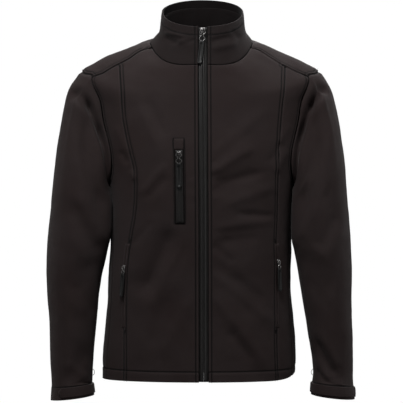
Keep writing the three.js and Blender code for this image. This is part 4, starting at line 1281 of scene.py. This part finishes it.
def sleeve_piece(side):
    name = NAMES[side]
    rings = sleeve_rings()
    turns = np.linspace(0, SLEEVE_TURNS, 121)[:-1]
    ring, turn = np.meshgrid(rings, turns, indexing="ij")
    flat, out = sleeve(side, ring, turn)
    dip, near = seam_relief(flat, [(("armhole", side), EMPTY)])
    cuff = 0.5 * ease((ring - CUFF_RING) / 0.1) - 0.5 * np.exp(-(((ring - CUFF_RING) / 0.05) ** 2))
    relief = dip + uneven(flat) * free(near) + cuff
    outer = flat + out * relief[..., None]
    turned = np.where(ring >= CUFF_RING, 1.4, 0)
    inner = flat + out * (relief - CLOTH - turned)[..., None]
    sewn = stitch_distance(flat, [(("cuff", side), STITCHED)])
    piece = shell(f"cloth_sleeve_{name}", outer, inner, (SHELL, SHADED_INSIDE), True, near, side > 0, sewn)
    CLOTH_PIECES[f"sleeve_{name}"] = piece


for side in (RIGHT, LEFT):
    sleeve_piece(side)

# The collar's section: up its outer face, over the rolled edge and down inside
COLLAR_SECTION = [(rise, 0, 0) for rise in (0, 0.01, 0.02, 0.035, *np.linspace(0.05, 0.97, 42))]
OUTER_ROWS = len(COLLAR_SECTION) + 4
COLLAR_SECTION += [
    (1, COLLAR_THICKNESS / 2 * (math.cos(a) - 1), COLLAR_THICKNESS / 2 * (math.sin(a) - 1))
    for a in np.linspace(0, math.pi, 9)
]
COLLAR_SECTION += [
    (rise, -COLLAR_THICKNESS, 0)
    for rise in (0.94, 0.86, 0.78, 0.7, 0.6, 0.5, 0.4, 0.3, 0.2, 0.1, 0.05, 0)
]


def collar_creases(points):
    return fold_height(COLLAR_CREASES, points[..., 0], points[..., 2]) * ease(-points[..., 1] / 12)


def collar_piece():
    rows = []
    share = spaced(430, EDGE_OFFSETS, EDGE_OFFSETS, 3.6)
    for rise, lift, up in COLLAR_SECTION:
        angles = collar_angles(rise)
        angle = np.interp(share * (len(angles) - 1), np.arange(len(angles)), angles)
        point, out = collar(angle, rise, 0.0)
        above, _ = collar(angle, min(1, rise + 0.02), 0.0)
        below, _ = collar(angle, min(1, rise + 0.02) - 0.04, 0.0)
        rows.append((point, out, unit(above - below), lift, up))
    flat = np.stack([row[0] for row in rows])
    edges = [(("collar edge", side), (EDGE_STITCHED,)) for side in (RIGHT, LEFT)]
    dip, near = seam_relief(flat, [("neck", EMPTY), ("collar band", STITCHED)] + edges)
    relief = dip + uneven(flat) * free(near) + collar_creases(flat) * np.minimum(1, free(near) * 2)
    points = []
    for row_relief, (point, out, up_way, lift, up) in zip(relief, rows):
        points.append(point + out * (lift + row_relief)[:, None] + up_way * up)
    points = np.stack(points)
    count = points.shape[1]
    faces = [tuple(f) for f in grid_faces(len(rows), count)]
    inside = [rows[f[0] // count][3] < -COLLAR_THICKNESS * 0.6 for f in faces]
    last = len(rows) - 1
    faces += [(last * count + j, last * count + j + 1, j + 1, j) for j in range(count - 1)]
    for j, turned in ((0, True), (count - 1, False)):
        ids = [i * count + j for i in range(len(rows))]
        for k in range(len(ids) // 2):
            quad = (ids[k], ids[k + 1], ids[-k - 2], ids[-k - 1])
            quad = tuple(dict.fromkeys(quad))
            if len(quad) > 2:
                faces.append(quad if turned else quad[::-1])
    sewn = stitch_distance(flat, [("collar band", STITCHED)] + edges)
    piece = mesh_object(
        "cloth_collar",
        points.reshape(-1, 3),
        faces,
        (SHADED_COLLAR_CLOTH, SHADED_INSIDE),
        inside + [False] * (len(faces) - len(inside)),
        uv=arc_lengths(points).reshape(-1, 2),
        values={"seam": near.ravel(), "stitch": sewn.ravel()},
    )
    OUTER.append((points[:OUTER_ROWS], grid_faces(OUTER_ROWS, count)))
    return piece, points


piece, points = collar_piece()
CLOTH_PIECES["collar"] = piece

# What lies on the cloth follows its finished outer faces
def cloth_tree(grids):
    vertices = np.concatenate([points.reshape(-1, 3) for points, _ in grids])
    faces = []
    start = 0
    for points, grid in grids:
        faces += (grid + start).tolist()
        start += points.shape[0] * points.shape[1]
    return BVHTree.FromPolygons(vertices.tolist(), faces)


CLOTH_TREE = cloth_tree(OUTER)


def settle(points, outs, reach=14):
    """How far each point has to move along its direction to meet the cloth."""
    flat = points.reshape(-1, 3)
    ways = outs.reshape(-1, 3)
    height = np.zeros(len(flat))
    for i, (point, way) in enumerate(zip(flat, ways)):
        hit = CLOTH_TREE.ray_cast(Vector(point + way * reach), Vector(-way), 2 * reach)[0]
        if hit is not None:
            height[i] = (np.array(hit) - point) @ way
    return height.reshape(points.shape[:-1])


def ride_and_replace(piece, nodes, body_name="jacket"):
    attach(piece, body_name)
    if nodes:
        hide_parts(*nodes)


# Zips
def film_material():
    made = Nodes("zip_film")
    film = made.noise(220, 3)
    colour = made.mix(made.spread(film, 0.3, 0.7), grey(0.0038, 0.15), grey(0.0068, 0.15))
    normal = made.bump(made.weave(0.0006), 0.00006, 0.4)
    return made.finish(
        Base_Color=colour,
        Roughness=made.spread(made.noise(500, 2), 0.3, 0.7, 0.42, 0.56),
        Specular_IOR_Level=0.28,
        Normal=normal,
    )


def metal_material():
    made = Nodes("enamelled_zinc")
    worn = made.spread(made.noise(900, 4), 0.45, 0.7)
    return made.finish(
        Base_Color=made.mix(worn, grey(0.11, 0.04), grey(0.28, 0.04)),
        Metallic=0.9,
        Roughness=made.spread(made.noise(400, 3), 0.3, 0.7, 0.24, 0.4),
        Normal=made.bump(made.noise(1500, 2), 0.00004, 0.5),
    )


def grip_material():
    made = Nodes("moulded_grip")
    grain = made.noise(2600, 2)
    return made.finish(
        Base_Color=made.mix(made.noise(300, 3), grey(0.0045), grey(0.008)),
        Roughness=made.spread(grain, 0.3, 0.7, 0.4, 0.56),
        Specular_IOR_Level=0.26,
        Normal=made.bump(grain, 0.00005, 0.6),
    )


def thread_material():
    made = Nodes("black_thread")
    return made.finish(
        Base_Color=made.mix(made.noise(700, 2), grey(0.003), grey(0.0055)),
        Roughness=0.8,
        Specular_IOR_Level=0.08,
        Normal=made.bump(made.noise(3500, 2), 0.00004, 0.5),
    )


FILM = film_material()
METAL = metal_material()
GRIP = grip_material()
THREAD = thread_material()

# Section of a front zip tape, from the middle out: a roll over the coil, then flat behind the front
TAPE = table(
    "across top bottom",
    [
        [0.04, -1.5, -2.9],
        [0.3, -0.8, -3],
        [0.9, -0.35, -3.1],
        [1.8, -0.15, -3.2],
        [2.7, -0.2, -3.2],
        [3.4, -0.6, -3.1],
        [4, -1.25, -2.9],
        [5, -1.55, -2.7],
        [6.6, -1.7, -2.7],
        [7.4, -1.8, -3.1],
        [8.7, -4.1, -5],
        [14.5, -4.1, -4.9],
    ],
)


def zip_line(across, lift, rises, heights):
    """Points up the front zip at one distance from its middle, over the body and then the collar."""
    side = RIGHT if across < 0 else LEFT
    angle = angle_at(BODY_RINGS["zipX"](heights) + across, heights, side)
    low, _ = body(angle, heights, lift)
    ring = collar_ring(rises)
    high, _ = collar(ring_angle_at(ring, across), rises, lift)
    return np.concatenate([low, high])


def zip_tape(side):
    heights = np.linspace(-669, -4, 150)
    rises = np.linspace(0, 0.965, 26)
    ripple = 0.12 * np.sin(np.arange(len(heights) + len(rises)) * 1.9)
    faces = []
    for key in ("top", "bottom"):
        lines = []
        for row in TAPE:
            roll = row[key] + ripple * (1 if 0.5 < row["across"] < 3 and key == "top" else 0)
            line = zip_line(side * row["across"], 0.0, rises, heights)
            out_low = zip_line(side * row["across"], 1.0, rises, heights) - line
            lines.append(line + out_low * roll[:, None])
        faces.append(np.stack(lines, 1))
    outer, inner = faces
    piece = shell(f"film_tape_{NAMES[side]}", outer, inner, (FILM, FILM), flip=side < 0)
    ride_and_replace(piece, [f"zip_tape_{NAMES[side]}"])


for side in (RIGHT, LEFT):
    zip_tape(side)

# Section across a pocket zip, from its edges in: welt, groove, two film rolls and the line where they meet
POCKET_SECTION = table(
    "across lift",
    [
        [-1, 0.05],
        [-0.92, 0.55],
        [-0.78, 0.7],
        [-0.66, 0.25],
        [-0.56, 0.3],
        [-0.42, 0.95],
        [-0.24, 1.1],
        [-0.1, 0.85],
        [0, 0.15],
        [0.1, 0.85],
        [0.24, 1.1],
        [0.42, 0.95],
        [0.56, 0.3],
        [0.66, 0.25],
        [0.78, 0.7],
        [0.92, 0.55],
        [1, 0.05],
    ],
)
LIP_SECTION = table(
    "across lift",
    [
        [-1, 0],
        [-0.86, 0.55],
        [-0.6, 0.95],
        [-0.3, 0.95],
        [-0.12, 0.55],
        [0, -0.3],
        [0.12, 0.6],
        [0.3, 1.15],
        [0.6, 1.15],
        [0.86, 0.6],
        [1, 0],
    ],
)


def strip(name, xs, heights, half_width, section, material, nodes, raised=0.15):
    """A narrow piece that lies on the body along a line of places, with a section across it."""
    side = RIGHT if xs[0] < 0 else LEFT
    x = xs[:, None] + half_width * np.array([row["across"] for row in section])[None]
    height = np.broadcast_to(heights[:, None], x.shape)
    angle = angle_at(x, height, side)
    flat, out = body(angle, height)
    lift = np.array([row["lift"] for row in section])[None] + 0 * x
    ends = np.minimum(1, np.minimum(np.arange(len(xs)), np.arange(len(xs))[::-1]) / 2.0)[:, None]
    ground = settle(flat, out)
    outer = flat + out * (ground + raised + lift * ends)[..., None]
    inner = flat + out * (ground + raised - 0.35)[..., None]
    piece = shell(name, outer, inner, (material, material), flip=side > 0)
    ride_and_replace(piece, nodes)
    return piece


WELT_SECTION = table("across lift", [[across, 0.1] for across in np.linspace(-1, 1, 15)])
PATCH_SECTION = table(
    "across lift",
    [[-1, 0.1], [-0.94, 0.8], [-0.8, 1.1], [-0.3, 1.15], [0.3, 1.15], [0.8, 1.1], [0.94, 0.8], [1, 0.1]],
)
# Painted shade: a dark sheet laid on the cloth round the chest zip stands for the shadow in the slot beside
# the zip.
zs = np.linspace(CHEST_BOTTOM, CHEST_TOP, 70)
strip("chest_slot_shade", chest_x(zs), front_height(zs), 9.9, WELT_SECTION, SHADED_INSIDE, [], 0.4)
zs = np.linspace(CHEST_ZIP_BOTTOM, CHEST_ZIP_TOP - 0.2, 60)
strip("chest_zip_film", chest_x(zs), front_height(zs), 6.75, POCKET_SECTION, FILM, ["chest_zip"], 0.7)
zs = np.linspace(-219.6, -197.6, 14)
strip(
    "chest_zip_patch",
    -44 + 0 * zs,
    front_height(zs),
    9.2,
    PATCH_SECTION,
    SHELL,
    ["chest_patch"],
    0.7,
)
for side in (RIGHT, LEFT):
    hs = np.linspace(-566, -400, 66)
    strip(
        f"pocket_lips_{NAMES[side]}",
        side * PANEL_SEAM[side]["x"](hs),
        hs,
        4.4,
        LIP_SECTION,
        SHELL,
        [f"hand_zip_{NAMES[side]}"],
    )


# Straps at the sleeves' ends
STRAPS = {RIGHT: (20, 6, 0.8), LEFT: (20, 1, 0.6)}


def cuff_strap(side):
    start, end, point = STRAPS[side]
    across = np.array([0, 0.03, 0.08, 0.15, 0.24, 0.35, 0.5, 0.65, 0.76, 0.85, 0.92, 0.97, 1])
    rings = lerp(16.14, 16.86, across)
    t = steps((start - end) * 4)
    rise = np.minimum(1, np.minimum(across, across[::-1]) / 0.08) ** 0.5
    along = t * (start - end)
    tip = end - 0.3 - point * ease(1 - np.abs(across - 0.5) * 2)
    turns = start - (start - tip[:, None]) * t[None]
    ring = np.broadcast_to(rings[:, None], turns.shape)
    flat, out = sleeve(side, ring, turns)
    ground = settle(flat, out)
    ends = np.minimum(1, np.minimum(along + 0.02, (along[-1] - along) + 0.02) / 0.35) ** 0.5
    dent = 0.35 * np.exp(-(((np.minimum(across, across[::-1]) - 0.15) / 0.04) ** 2))
    thick = 0.3 + 1.9 * rise[:, None] * ends[None] - dent[:, None]
    outer = flat + out * (ground + 0.5 + thick)[..., None]
    inner = flat + out * (ground + 0.5)[..., None]
    piece = shell(f"strap_{NAMES[side]}", outer, inner, (SHELL, SHELL), flip=side < 0)
    ride_and_replace(piece, [f"cuff_tab_{NAMES[side]}"])


for side in (RIGHT, LEFT):
    cuff_strap(side)


# The lining inside the back of the collar
def collar_lining():
    rises = np.linspace(0.05, 0.72, 26)
    share = np.linspace(0.09, 0.91, 110)
    outer, inner = [], []
    edge = np.minimum(1, np.minimum(np.arange(26), np.arange(26)[::-1]) / 3.0) ** 0.5
    for rise, full in zip(rises, edge):
        angles = collar_angles(rise)
        angle = np.interp(share * (len(angles) - 1), np.arange(len(angles)), angles)
        point, out = collar(angle, rise, 0.0)
        wave = 0.35 * lumps(point, 30, 7)
        point = point + out * np.minimum(0, collar_creases(point))[:, None]
        outer.append(point - out * (COLLAR_THICKNESS + 0.35))
        inner.append(point - out * (COLLAR_THICKNESS + 0.5 + 1.1 * full + (wave + 0.35) * full)[:, None])
    outer, inner = np.array(outer), np.array(inner)
    piece = shell("lining_inside_collar", outer, inner, (SHADED_LINING, SHADED_LINING))
    ride_and_replace(piece, ["collar_lining"])


collar_lining()


# Sliders and pulls, made in their own frame: z up the zip, -y out of the cloth, the pull's pin at the origin
def basis(pin, end, standoff, end_standoff=None):
    (pin_point, pin_out), (end_point, end_out) = pin, end
    last = standoff if end_standoff is None else end_standoff
    start = pin_point + pin_out * standoff
    up = unit(start - (end_point + end_out * last))
    behind = -unit(pin_out - up * (pin_out @ up))
    across = np.cross(behind, up)
    return np.stack([across, behind, up], 1), start


def tube(path, radius, sides=8, closed=False):
    """A round wire along a path of points."""
    path = np.asarray(path, float)
    count = len(path)
    ahead = np.roll(path, -1, 0) - np.roll(path, 1, 0)
    if not closed:
        ahead[0] = path[1] - path[0]
        ahead[-1] = path[-1] - path[-2]
    ahead = unit(ahead)
    first = unit(np.cross(ahead, np.array([0.0, 1.0, 0.0])) + 1e-6)
    second = np.cross(ahead, first)
    radius = np.broadcast_to(radius, count)
    a = np.arange(sides) / sides * math.tau
    ring = first[:, None] * np.cos(a)[None, :, None] + second[:, None] * np.sin(a)[None, :, None]
    points = path[:, None] + ring * radius[:, None, None]
    faces = []
    for i in range(count if closed else count - 1):
        k = (i + 1) % count
        for j in range(sides):
            m = (j + 1) % sides
            faces.append((i * sides + j, i * sides + m, k * sides + m, k * sides + j))
    if not closed:
        faces.append(tuple(range(sides))[::-1])
        faces.append(tuple((count - 1) * sides + j for j in range(sides)))
    return points.reshape(-1, 3), faces


def capsule(half, top, bottom, count=12):
    """The outline of a bar with round ends, in x and z."""
    a = np.linspace(0, math.pi, count)
    high = np.stack([half * np.cos(a), top - half + half * np.sin(a)], -1)
    low = np.stack([-half * np.cos(a), bottom + half - half * np.sin(a)], -1)
    return np.concatenate([high, low])


def lofted(outlines):
    """A solid through outlines of equal count, each an (x, z) outline at its own y, closed at both ends."""
    points = []
    for outline, y in outlines:
        points.append(np.stack([outline[:, 0], np.full(len(outline), y), outline[:, 1]], -1))
    count = len(points[0])
    faces = []
    for i in range(len(points) - 1):
        for j in range(count):
            k = (j + 1) % count
            faces.append((i * count + j, i * count + k, (i + 1) * count + k, (i + 1) * count + j))
    faces.append(tuple(range(count))[::-1])
    faces.append(tuple((len(points) - 1) * count + j for j in range(count)))
    return np.concatenate(points), faces


def inset(outline, amount):
    middle = outline.mean(0)
    before = outline - np.roll(outline, 1, 0)
    after = np.roll(outline, -1, 0) - outline
    way = unit(unit(before) + unit(after))
    normal = np.stack([way[:, 1], -way[:, 0]], -1)
    outward = np.sum(normal * (outline - middle), -1).sum() > 0
    return outline - normal * amount * (1 if outward else -1)


def merged(parts):
    points, faces, start = [], [], 0
    for p, f in parts:
        points.append(np.asarray(p))
        faces += [tuple(start + i for i in face) for face in f]
        start += len(p)
    return np.concatenate(points), faces


def placed(name, parts, where, material, nodes, body_name):
    points, faces = merged(parts)
    matrix, start = where
    world = points @ matrix.T + start
    piece = mesh_object(name, world, faces, (material,))
    mesh = piece.data
    work = bmesh.new()
    work.from_mesh(mesh)
    bmesh.ops.recalc_face_normals(work, faces=work.faces)
    work.to_mesh(mesh)
    work.free()
    ride_and_replace(piece, nodes, body_name)
    return piece


def slider_parts(width, height, floor, front=2.2):
    half = width / 2
    waist = half * 0.7
    outline = np.array(
        [
            [-waist, -height * 0.6],
            [-waist * 0.6, -height * 0.64],
            [waist * 0.6, -height * 0.64],
            [waist, -height * 0.6],
            [waist * 0.94, -height * 0.25],
            [half * 0.9, height * 0.05],
            [half, height * 0.2],
            [half * 0.94, height * 0.36],
            [half * 0.4, height * 0.38],
            [0, height * 0.3],
            [-half * 0.4, height * 0.38],
            [-half * 0.94, height * 0.36],
            [-half, height * 0.2],
            [-half * 0.9, height * 0.05],
            [-waist * 0.94, -height * 0.25],
        ]
    )
    plate = lofted(
        [
            (inset(outline, 0.9), front - 0.55),
            (inset(outline, 0.35), front - 0.4),
            (outline, front + 0.1),
            (outline, floor - 0.1),
            (inset(outline, 0.3), floor),
        ]
    )
    t = np.linspace(0, math.pi, 13)
    reach = height * 0.34
    bridge = tube(
        np.stack([0 * t, front - 0.2 - (front + 1.5) * np.sin(t) ** 0.8, -reach * np.cos(t) - 0.6], -1),
        0.75 + 0.35 * np.abs(np.cos(t)),
        8,
    )
    return [plate, bridge]


PULL_THICKNESS = 2.4


def pull_parts(link, link_width, grip, grip_width):
    """A wire link, drawn in at its waist, and a moulded grip with an oval recess."""
    wire = capsule(link_width / 2 - 0.85, 1.6, -link - 1.2, 20)
    straight = np.linspace(0, 1, 14)[1:-1, None]
    wire = np.concatenate(
        [wire[:20], lerp(wire[19], wire[20], straight), wire[20:], lerp(wire[-1], wire[0], straight)]
    )
    waist = np.exp(-(((wire[:, 1] + link * 0.5) / (link * 0.17)) ** 2))
    across = wire[:, 0] * (1 - 0.72 * waist)
    loop = tube(np.stack([across, 0 * across, wire[:, 1]], -1), 0.85, 8, closed=True)
    half = grip_width / 2
    bar = capsule(half, -link, -link - grip, 14)
    groove = capsule(half * 0.52, -link - 7.5, -link - grip + 5, 14)
    face = PULL_THICKNESS / 2
    rings = [
        (inset(groove, 0.5), -face + 0.75),
        (groove, -face + 0.6),
        (inset(groove, -0.35), -face),
        (inset(bar, 0.7), -face),
        (inset(bar, 0.2), -face + 0.25),
        (bar, -face + 0.8),
        (bar, face - 0.8),
        (inset(bar, 0.2), face - 0.25),
        (inset(bar, 0.7), face),
    ]
    return [loop, lofted(rings)]


def collar_spot(rise):
    return collar(np.array(0.0), np.array(float(rise)))


def body_spot(x, height, side):
    return body(angle_at(x, height, side), height, fine=False)


def slider_piece(name, sizes, where, nodes):
    placed(name, slider_parts(*sizes), where, METAL, nodes, "jacket")


def pull_piece(name, sizes, where, nodes, body_name):
    loop, grip = pull_parts(*sizes)
    placed(f"{name}_link", [loop], where, METAL, [], body_name)
    placed(f"{name}_grip", [grip], where, GRIP, nodes, body_name)


front_pin = collar_spot(0.86)
hang = (collar_spot(0.05)[0] + np.array([-6.0, 0, 0]), front_pin[1])
slider_piece("slider_front", (10.5, 15, 3.4), basis(front_pin, collar_spot(0.76), 4.2), ["front_slider"])
pull_piece(
    "pull_front",
    (20.6, 12.6, 48, 9.2),
    basis(front_pin, hang, 4.2, 2.4),
    ["front_pull"],
    "front_zip_pull",
)


def chest_spot(z):
    return body_spot(chest_x(z), float(front_height(z)), RIGHT)


chest_pin = chest_spot(-227)
slider_piece("slider_chest", (8, 12, 3.3), basis(chest_pin, chest_spot(-233), 5.4), ["chest_slider"])
pull_piece(
    "pull_chest",
    (18, 13, 49, 10.4),
    basis(chest_pin, chest_spot(-294), 5.4),
    ["chest_pull"],
    "chest_zip_pull",
)


def hand_spot(side, height, across=0.0):
    return body_spot(side * PANEL_SEAM[side]["x"](height) + across, height, side)


HAND_PIN_HEIGHT = {RIGHT: -446.0, LEFT: -435.0}
for side in (RIGHT, LEFT):
    name = NAMES[side]
    height = HAND_PIN_HEIGHT[side]
    pin = hand_spot(side, height)
    slider_piece(
        f"slider_hand_{name}",
        (7, 11, 3.3),
        basis(pin, hand_spot(side, height - 6), 5.4),
        [f"hand_slider_{name}"],
    )
    pull_piece(
        f"pull_hand_{name}",
        (12, 9, 47, 9.4),
        basis(pin, hand_spot(side, height - 59, side * 2), 5.4),
        [f"hand_pull_{name}"],
        f"hand_zip_pull_{name}",
    )


# Stitching: short lengths of thread laid on the finished cloth
STITCH_PITCH = 3.2
STITCH_LENGTH = 2.4
THREAD_RADIUS = 0.42
THREAD_SIDES = 5
THREAD_ALONG = np.array([-0.5, -0.36, 0, 0.36, 0.5])
THREAD_THICK = np.array([0.12, 0.8, 1, 0.8, 0.12])


def beside(path, distance):
    """A seam's path moved over the cloth to one side of it."""
    points, outs = path
    ahead = unit(np.gradient(points, axis=0))
    return points + np.cross(outs, ahead) * distance, outs


def threads(path, pitch=STITCH_PITCH, length=STITCH_LENGTH, crossways=False):
    """A row of short threads on the cloth, end to end or side by side: their points and faces."""
    points, outs = evenly(*path, pitch)
    ahead = unit(np.gradient(points, axis=0))
    cross = np.cross(ahead, outs)
    if crossways:
        ahead, cross = cross, ahead
    turn = np.arange(THREAD_SIDES) / THREAD_SIDES * math.tau
    ring = cross[:, None] * np.cos(turn)[:, None] + outs[:, None] * np.sin(turn)[:, None]
    centre = points + outs * (settle(points, outs, 6) + 0.05)[:, None]
    along = (THREAD_ALONG * length)[:, None, None]
    thick = (THREAD_THICK * THREAD_RADIUS)[:, None, None]
    made = centre[:, None, None] + ahead[:, None, None] * along + ring[:, None] * thick
    one = grid_faces(len(THREAD_ALONG), THREAD_SIDES, closed=True)
    starts = np.arange(len(points)) * len(THREAD_ALONG) * THREAD_SIDES
    return made.reshape(-1, 3), (one[None] + starts[:, None, None]).reshape(-1, 4)


def stitching(name, paths, bars=()):
    parts = [threads(path) for path in paths]
    parts += [threads(path, 0.8, 2.6, True) for path in bars]
    points, faces = merged(parts)
    piece = mesh_object(name, points, faces, (THREAD,))
    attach(piece, "jacket")


def hem_path(grid):
    return body_path(grid[round(HEM_TURN / (LAST_SIDE - HEM_HEIGHT) * SIDE_STEPS)])


def bar_path(side, height):
    """Where a bar of close stitches closes one end of a hand pocket, across the panel seam."""
    heights = height + np.linspace(-4, 4, 9)
    return body_path(panel_seam(side, heights, inwards=3.5))


def chest_bar_path():
    """The close stitching over the top of the chest pocket."""
    x = chest_x(CHEST_TOP) + np.linspace(-10.5, 10.5, 20)
    height = front_height(CHEST_TOP) + 0 * x
    return body_path(np.stack([angle_at(x, height, RIGHT), height], -1))


THREADS = {}
for side in (RIGHT, LEFT):
    name = NAMES[side]
    THREADS[f"front_{name}"] = [
        *(beside(SEAMS["panel", side], side * d) for d in DOUBLE),
        beside(SEAMS["edge", side], -side * EDGE_STITCHED),
        hem_path(front_panel(side)),
    ]
    THREADS[f"side_front_{name}"] = [hem_path(side_panel(side))]
THREADS["back"] = [hem_path(back_panel())]
THREADS["collar"] = [SEAMS["collar band"]]
for side in (RIGHT, LEFT):
    THREADS["collar"].append(beside(SEAMS["collar edge", side], -side * EDGE_STITCHED))
    THREADS["back"] += [beside(SEAMS["shoulder", side], side * d) for d in DOUBLE]
    THREADS["back"] += [beside(SEAMS["armhole", side], -side * d) for d in DOUBLE]
    THREADS[f"sleeve_{NAMES[side]}"] = [SEAMS["cuff", side]]
THREADS["front_right"].append(SEAMS["chest pocket"])
BARS = {f"front_{NAMES[side]}": [bar_path(side, h) for h in (-394, -572)] for side in (RIGHT, LEFT)}
BARS["front_right"].append(chest_bar_path())
for node, paths in THREADS.items():
    stitching(f"stitching_{node}", paths, BARS.get(node, ()))


def loose_loop(side):
    """The small loop of thread that stands off the inner side of each sleeve, just above its end."""
    t = np.linspace(0, math.pi, 15)
    flat, out = sleeve(side, 14 - 0.28 * np.cos(t), 15.6 + 0 * t)
    points, faces = tube(flat + out * (settle(flat, out) - 0.4 + 4.5 * np.sin(t))[:, None], 0.5, 6)
    piece = mesh_object(f"loop_{NAMES[side]}", points, faces, (THREAD,))
    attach(piece, "jacket")


for side in (RIGHT, LEFT):
    loose_loop(side)

for node, piece in CLOTH_PIECES.items():
    ride_and_replace(piece, [node])


# Camera, light and floor
CAMERA_HEIGHT = -0.319
CAMERA_DISTANCE = 3.2
FLOOR = -1.45  # where a wearer would stand


def camera():
    data = bpy.data.cameras.new("camera")
    data.sensor_width = 36
    data.lens = 142.93
    item = bpy.data.objects.new("camera", data)
    item.location = (0, -CAMERA_DISTANCE, CAMERA_HEIGHT)
    item.rotation_euler = (math.pi / 2, 0, 0)
    bpy.context.scene.collection.objects.link(item)
    bpy.context.scene.camera = item


def area_light(name, place, aim, size, power):
    data = bpy.data.lights.new(name, "AREA")
    data.shape = "DISK"
    data.size = size
    data.energy = power
    item = bpy.data.objects.new(name, data)
    item.location = place
    item.rotation_euler = (Vector(aim) - Vector(place)).to_track_quat("-Z", "Y").to_euler()
    bpy.context.scene.collection.objects.link(item)


camera()
area_light("key", (-0.4, -1.35, 1.75), (0, 0, -0.36), 0.9, 61)
area_light("top", (0.25, 0.75, 1.6), (0, 0, 0), 0.9, 30)
area_light("left_fill", (-2.3, -1.3, -0.4), (0, 0, -0.55), 1.4, 10)
area_light("right_fill", (2.3, -1.3, -0.2), (0, 0, -0.55), 1.4, 18)
area_light("left_edge", (-2.2, 0.9, -0.1), (0, 0, -0.5), 1.2, 9)
area_light("right_edge", (2.2, 1.0, 0.2), (0, 0, -0.4), 1.2, 20)
area_light("back", (0.4, 2.9, 0.7), (0, 0, -0.3), 1.4, 55)

world = bpy.data.worlds.new("studio")
world.use_nodes = True
sky = world.node_tree.nodes["Background"]
sky.inputs["Color"].default_value = (1, 1, 1, 1)
sky.inputs["Strength"].default_value = 0.08
bpy.context.scene.world = world
bpy.context.scene.view_settings.view_transform = "Standard"


def glowing(name, colour, strength):
    made = bpy.data.materials.new(name)
    made.use_nodes = True
    shader = made.node_tree.nodes["Principled BSDF"]
    shader.inputs["Base Color"].default_value = colour
    shader.inputs["Roughness"].default_value = 0.9
    shader.inputs["Emission Color"].default_value = (1, 1, 1, 1)
    shader.inputs["Emission Strength"].default_value = strength
    return made


def backdrop():
    """A plain white surround, and a pale round floor where a wearer would stand."""
    mesh = bpy.data.meshes.new("surround")
    work = bmesh.new()
    bmesh.ops.create_icosphere(work, subdivisions=3, radius=30)
    work.to_mesh(mesh)
    work.free()
    mesh.materials.append(glowing("white_surround", (0, 0, 0, 1), 1.0))
    surround = bpy.data.objects.new("surround", mesh)
    floor_mesh = bpy.data.meshes.new("floor")
    ring = [(1.8 * math.cos(a), 1.8 * math.sin(a), FLOOR) for a in np.linspace(0, math.tau, 97)[:-1]]
    floor_mesh.from_pydata(ring, [], [tuple(range(96))])
    floor_mesh.materials.append(glowing("pale_floor", (0.85, 0.85, 0.85, 1), 0.5))
    floor = bpy.data.objects.new("floor", floor_mesh)
    for item in (surround, floor):
        item.visible_diffuse = False
        item.visible_glossy = False
        item.visible_shadow = False
        bpy.context.scene.collection.objects.link(item)


backdrop()
